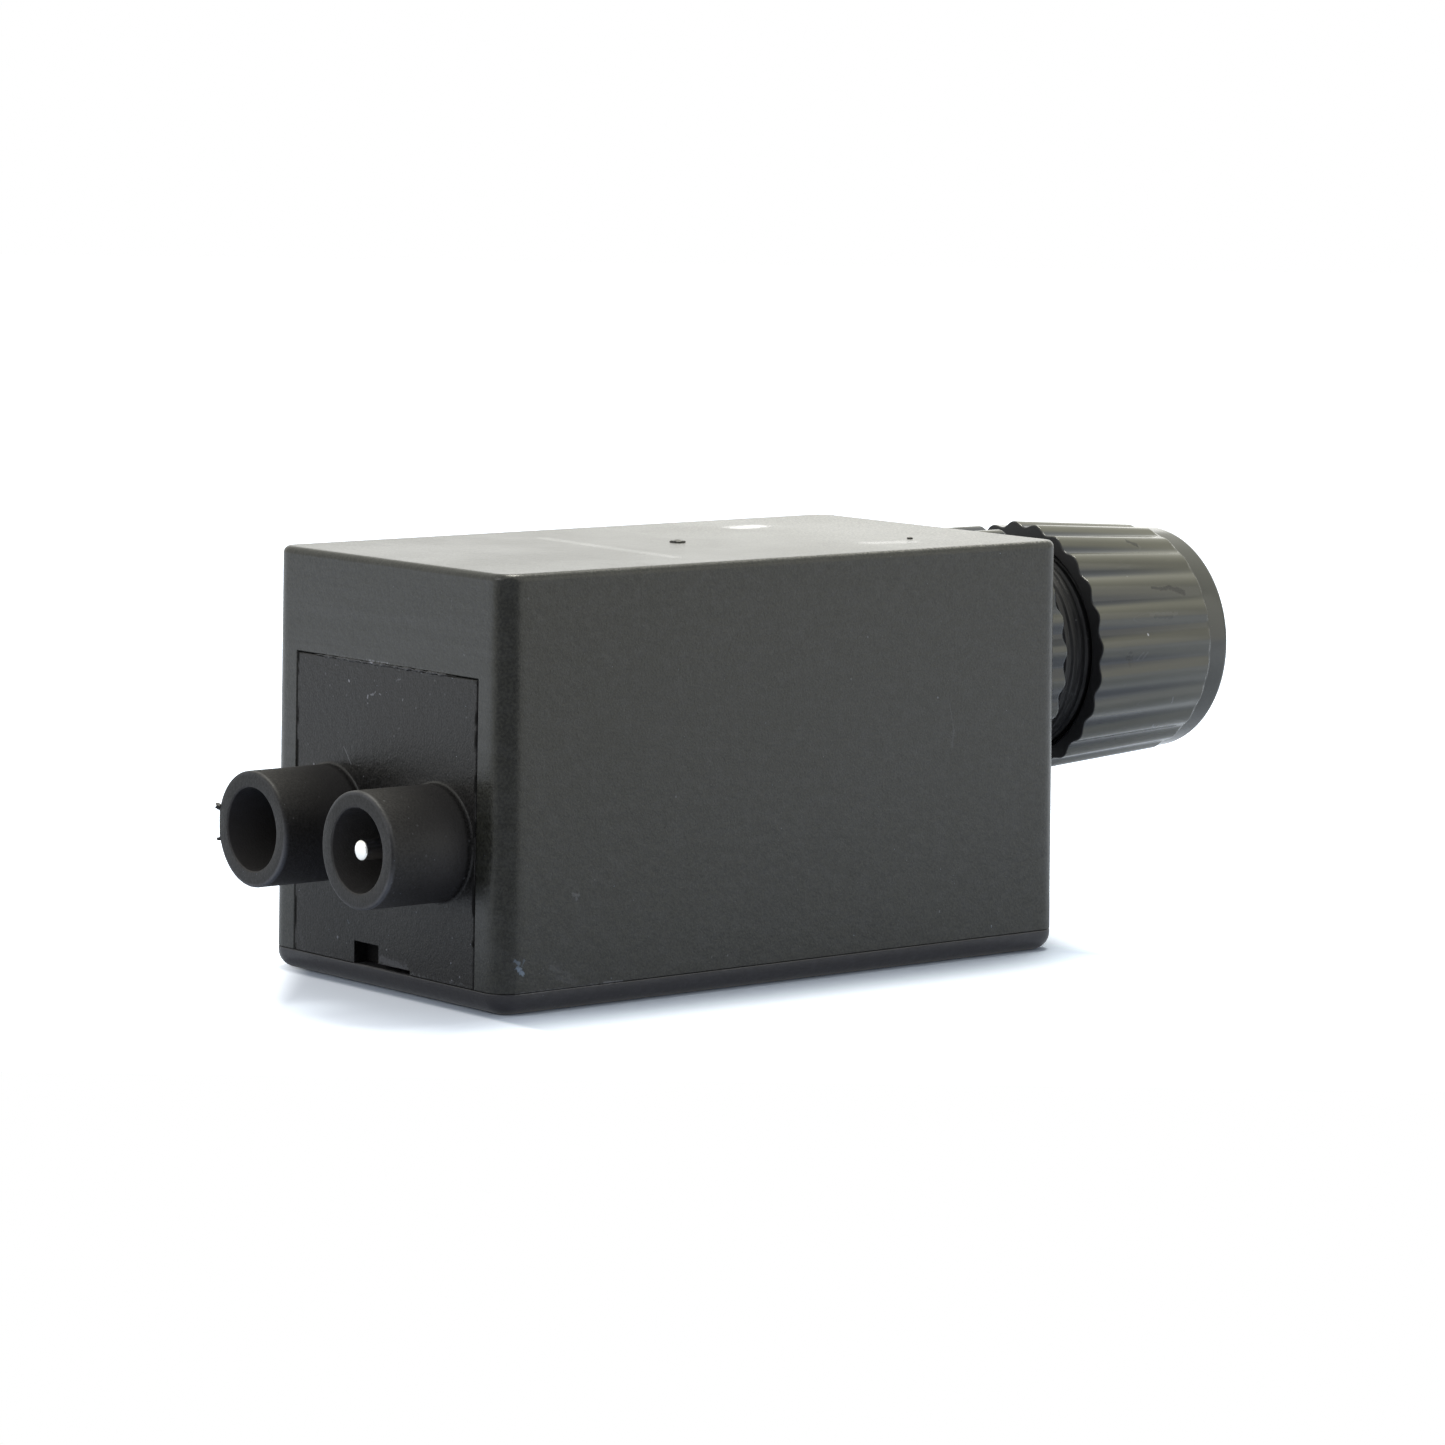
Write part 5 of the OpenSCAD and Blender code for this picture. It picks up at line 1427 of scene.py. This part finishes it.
class IGNITION_OT_finishes(bpy.types.Operator):
    """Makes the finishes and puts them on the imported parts"""

    bl_idname = "ignition.finishes"
    bl_label = "Finishes"

    def execute(self, context):
        made = slot_finishes(settings(context))
        context.scene["slot_finish"] = {slot: material.name for slot, material in made.items()}
        for node in frame["nodes"].values():
            for place in node.material_slots:
                place.material = made[place.material.name]
        return {"FINISHED"}


class IGNITION_OT_case_shell(bpy.types.Operator):
    """Builds the moulded box with the gate's stub on its roof"""

    bl_idname = "ignition.case_shell"
    bl_label = "Case shell"

    def execute(self, context):
        unit = settings(context)
        make_piece("case_shell", case_sheets(unit.case, unit.panel), "case", "case_plastic", "housing")
        make_piece("gate_stub", gate_sheets(unit.case), "case", "case_plastic", sharp=60.0)
        return {"FINISHED"}


class IGNITION_OT_base_cover(bpy.types.Operator):
    """Builds the bottom cover"""

    bl_idname = "ignition.base_cover"
    bl_label = "Base cover"

    def execute(self, context):
        make_piece("base_cover", base_sheets(settings(context).case), "case", "case_plastic", "base_plate")
        return {"FINISHED"}


class IGNITION_OT_socket_front(bpy.types.Operator):
    """Builds the socket front, its tubes and the burrs on its seam and on the spare tube"""

    bl_idname = "ignition.socket_front"
    bl_label = "Socket front"

    def execute(self, context):
        unit = settings(context)
        sheets = panel_sheets(unit.panel, unit.case)
        make_piece("socket_front", sheets, "case", "panel_plastic", "socket_panel")
        make_piece("tube_flash", flash_sheets(unit.panel), "case", "panel_plastic", sharp=80.0)
        make_piece("seam_burr", burr_sheets(unit.panel, unit.case), "case", "panel_plastic", sharp=80.0)
        return {"FINISHED"}


class IGNITION_OT_terminal_pin(bpy.types.Operator):
    """Builds the terminal pin"""

    bl_idname = "ignition.terminal_pin"
    bl_label = "Terminal pin"

    def execute(self, context):
        make_piece("terminal_pin", pin_sheets(), "case", "pin_metal", "high_voltage_pin")
        return {"FINISHED"}


class IGNITION_OT_gland(bpy.types.Operator):
    """Builds the gland's body and the rubber sleeve in it"""

    bl_idname = "ignition.gland"
    bl_label = "Gland body"

    def execute(self, context):
        size = settings(context).gland
        make_piece("gland_stem", body_sheets(size), "case", "gland_plastic", "gland_body")
        make_piece("grip_sleeve", seal_sheets(), "case", "seal_rubber", "cable_seal")
        return {"FINISHED"}


class IGNITION_OT_union_nut(bpy.types.Operator):
    """Builds the union nut and the pressure ring that travels with it"""

    bl_idname = "ignition.union_nut"
    bl_label = "Union nut"

    def execute(self, context):
        size = settings(context).gland
        make_piece("union_nut", nut_sheets(size), "nut", "gland_plastic", "gland_nut")
        make_piece("thrust_ring", ring_sheets(size), "ring", "gland_plastic", "pressure_ring")
        return {"FINISHED"}


class IGNITION_OT_inserts(bpy.types.Operator):
    """Builds the two threaded inserts"""

    bl_idname = "ignition.inserts"
    bl_label = "Threaded inserts"

    def execute(self, context):
        make_piece("threaded_inserts", insert_sheets(), "case", "insert_brass", "mount_inserts")
        return {"FINISHED"}


def add_world(stage):
    """White for the camera, white with a dark side in reflections, and dimmer on matt surfaces."""
    world = bpy.data.worlds.new("white_room")
    world.use_nodes = True
    graph = Graph(world.node_tree)
    path = graph.add("ShaderNodeLightPath").outputs
    dark_side = (-math.cos(stage.yaw), -math.sin(stage.yaw), 0.0)
    look = graph.add("ShaderNodeTexCoord").outputs["Generated"]
    facing = graph.vector("DOT_PRODUCT", look, dark_side, out=1)
    dark = graph.ramp(facing, stage.dark_from, stage.dark_to)
    mirrored = graph.most(path["Is Glossy Ray"], path["Is Transmission Ray"])
    level = graph.times(mirrored, graph.line(dark, stage.dark_level - 1.0, 1.0))
    on_matt = graph.times(path["Is Diffuse Ray"], stage.ambient)
    level = graph.most(level, path["Is Camera Ray"], on_matt)
    tone = graph.blend(dark, (1.0, 1.0, 0.94, 1.0), (0.92, 0.95, 1.0, 1.0))
    tone = graph.blend(path["Is Diffuse Ray"], tone, (0.97, 0.98, 1.0, 1.0))
    tone = graph.blend(path["Is Camera Ray"], tone, (1.0, 1.0, 1.0, 1.0))
    back = world.node_tree.nodes["Background"]
    graph.feed(back.inputs["Color"], tone)
    graph.feed(back.inputs["Strength"], level)
    bpy.context.scene.world = world


def add_floor(stage):
    """A pale floor: it holds the shadow by the object, is white further off and ends short of the camera. Its
    glow is painted light that narrows the shadow, and in reflections it is painted dimmer near the object.
    """
    wide, behind, ahead = 2.5, 2.5, 0.10
    along = np.array([math.cos(stage.yaw), math.sin(stage.yaw), 0.0])
    across = np.array([-along[1], along[0], 0.0])
    edge = [(-ahead, -wide), (-ahead, wide), (behind, wide), (behind, -wide)]
    mesh = bpy.data.meshes.new("floor")
    mesh.from_pydata([tuple(a * along - b * across) for a, b in edge], [], [(0, 1, 2, 3)])
    material = bpy.data.materials.new("pale_floor")
    material.use_nodes = True
    graph = Graph(material.node_tree)
    shader = material.node_tree.nodes["Principled BSDF"]
    path = graph.add("ShaderNodeLightPath").outputs
    mirrored = graph.most(path["Is Glossy Ray"], path["Is Transmission Ray"])
    place = graph.add("ShaderNodeTexCoord").outputs["Object"]
    tone = graph.noise(place, 40.0, 2.0)
    paint = graph.blend(tone, (0.73, 0.82, 0.96, 1), (0.75, 0.84, 0.97, 1))
    paint = graph.blend(mirrored, paint, (0.52, 0.57, 0.66, 1))
    paint = graph.blend(path["Is Diffuse Ray"], paint, (0.21, 0.26, 0.41, 1))
    graph.feed(shader.inputs["Base Color"], paint)
    shader.inputs["Roughness"].default_value = 1.0
    shader.inputs["Specular IOR Level"].default_value = 0.0
    shader.inputs["Emission Color"].default_value = (0.94, 0.97, 1.0, 1.0)
    outside = graph.vector("SUBTRACT", graph.vector("ABSOLUTE", place), (CASE_HIGH[0], CASE_HIGH[1], 0.0))
    off = graph.vector("LENGTH", graph.vector("MAXIMUM", outside, (0.0, 0.0, 0.0)), out=1)
    spot = graph.split(place)
    # Painted light: the floor glows for camera rays, more with distance from the box, so its shadow fades to
    # white sooner, soonest on the near side, past the right end and left of the front
    open_near = graph.ramp(spot["Y"], CASE_LOW[1], CASE_LOW[1] - 27 * MM)
    open_side = graph.ramp(spot["X"], CASE_HIGH[0] - 2 * MM, CASE_HIGH[0] + 12 * MM)
    leftwards = graph.vector("DOT_PRODUCT", place, tuple(across), out=1)
    left_end = float(np.dot(across, (CASE_LOW[0], CASE_HIGH[1], 0.0)))
    open_left = graph.ramp(leftwards, left_end - 7 * MM, left_end + 1 * MM)
    near_white = graph.most(graph.ramp(off, 4 * MM, 60 * MM), open_side, open_left, open_near)
    # Painted light: an extra glow on the floor in front of the socket front lightens the shadow there
    lit_front = graph.ramp(spot["X"], CASE_LOW[0], CASE_LOW[0] - 2 * MM, 0.0, 0.34)
    near_white = graph.times(path["Is Camera Ray"], graph.math("ADD", near_white, lit_front))
    # Painted shade: in reflections the floor glows little near the box and more further off
    far_white = graph.times(mirrored, graph.ramp(off, 40 * MM, 220 * MM, 0.16, 0.84))
    graph.feed(shader.inputs["Emission Strength"], graph.math("ADD", near_white, far_white))
    mesh.materials.append(material)
    floor = bpy.data.objects.new("floor", mesh)
    bpy.context.scene.collection.objects.link(floor)


WARM = (1.0, 0.98, 0.88)


def add_soft_box(name, place, size, power, matt=1.0, gloss=1.0, tone=(1.0, 1.0, 1.0)):
    """An area light turned towards the origin, with its shares on matt surfaces and in reflections."""
    lamp = bpy.data.lights.new(name, "AREA")
    lamp.shape, lamp.size, lamp.size_y, lamp.energy = "RECTANGLE", *size, power
    lamp.diffuse_factor, lamp.specular_factor = matt, gloss
    lamp.color = tone
    box = bpy.data.objects.new(name, lamp)
    box.visible_camera = False
    box.location = place
    box.rotation_mode = "QUATERNION"
    box.rotation_quaternion = (-box.location).to_track_quat("-Z", "Y")
    bpy.context.scene.collection.objects.link(box)


class IGNITION_OT_stage(bpy.types.Operator):
    """Adds the floor, the lights, the white surroundings and the camera"""

    bl_idname = "ignition.stage"
    bl_label = "Stage"

    def execute(self, context):
        stage = settings(context).stage
        scene = context.scene
        scene.view_settings.view_transform = "Standard"
        add_world(stage)
        add_floor(stage)
        lens = bpy.data.cameras.new("camera")
        lens.lens, lens.sensor_width = stage.lens, 36.0
        camera = bpy.data.objects.new("camera", lens)
        yaw, pitch, roll = stage.yaw, stage.pitch, stage.roll
        ahead = np.array([math.cos(yaw) * math.cos(pitch), math.sin(yaw) * math.cos(pitch), -math.sin(pitch)])
        level = np.array([math.sin(yaw), -math.cos(yaw), 0.0])
        up = np.cross(level, ahead)
        right = math.cos(roll) * level + math.sin(roll) * up
        up = np.cross(right, ahead)
        place = Matrix.Translation((stage.camera_x, stage.camera_y, stage.camera_z))
        camera.matrix_world = place @ Matrix(np.stack([right, up, -ahead], 1).tolist()).to_4x4()
        scene.collection.objects.link(camera)
        scene.camera = camera
        add_soft_box("key_box", (0.28, 0.14, 1.0), (0.42, 0.34), stage.key_power, gloss=0.25, tone=WARM)
        add_soft_box("front_box", (-0.95, 0.15, 0.6), (0.5, 0.5), stage.front_power, gloss=0.0)
        add_soft_box("right_card", (0.8, -0.95, 0.35), (0.8, 0.8), stage.right_power, matt=0.0, tone=WARM)
        add_soft_box("back_card", (0.92, 0.96, 0.3), (1.4, 0.5), stage.back_power, matt=0.0)
        return {"FINISHED"}


OPERATORS = (
    IGNITION_OT_finishes,
    IGNITION_OT_case_shell,
    IGNITION_OT_base_cover,
    IGNITION_OT_socket_front,
    IGNITION_OT_terminal_pin,
    IGNITION_OT_gland,
    IGNITION_OT_union_nut,
    IGNITION_OT_inserts,
    IGNITION_OT_stage,
)


class IGNITION_PT_unit(bpy.types.Panel):
    """The settings and the steps that use them"""

    bl_idname = "IGNITION_PT_unit"
    bl_label = "Ignition unit"
    bl_space_type = "VIEW_3D"
    bl_region_type = "UI"
    bl_category = "Ignition"

    def draw(self, context):
        unit = settings(context)
        for group in (unit.case, unit.panel, unit.gland, unit.colours, unit.stage):
            box = self.layout.box()
            for name in group.__annotations__:
                box.prop(group, name)
        for operator in OPERATORS:
            self.layout.operator(operator.bl_idname)


SETTINGS = (CaseSizes, PanelSizes, GlandSizes, FinishColours, StageSettings, IgnitionUnit)
CLASSES = (*SETTINGS, *OPERATORS, IGNITION_PT_unit)


def register():
    """Registers the classes and hangs the settings on the scene."""
    for item in CLASSES:
        bpy.utils.register_class(item)
    bpy.types.Scene.ignition_unit = bpy.props.PointerProperty(type=IgnitionUnit)


def unregister():
    """Takes the settings and the classes away again."""
    del bpy.types.Scene.ignition_unit
    for item in reversed(CLASSES):
        bpy.utils.unregister_class(item)


def main():
    register()
    for operator in OPERATORS:
        family, step = operator.bl_idname.split(".")
        getattr(getattr(bpy.ops, family), step)()


if __name__ == "__main__":
    main()
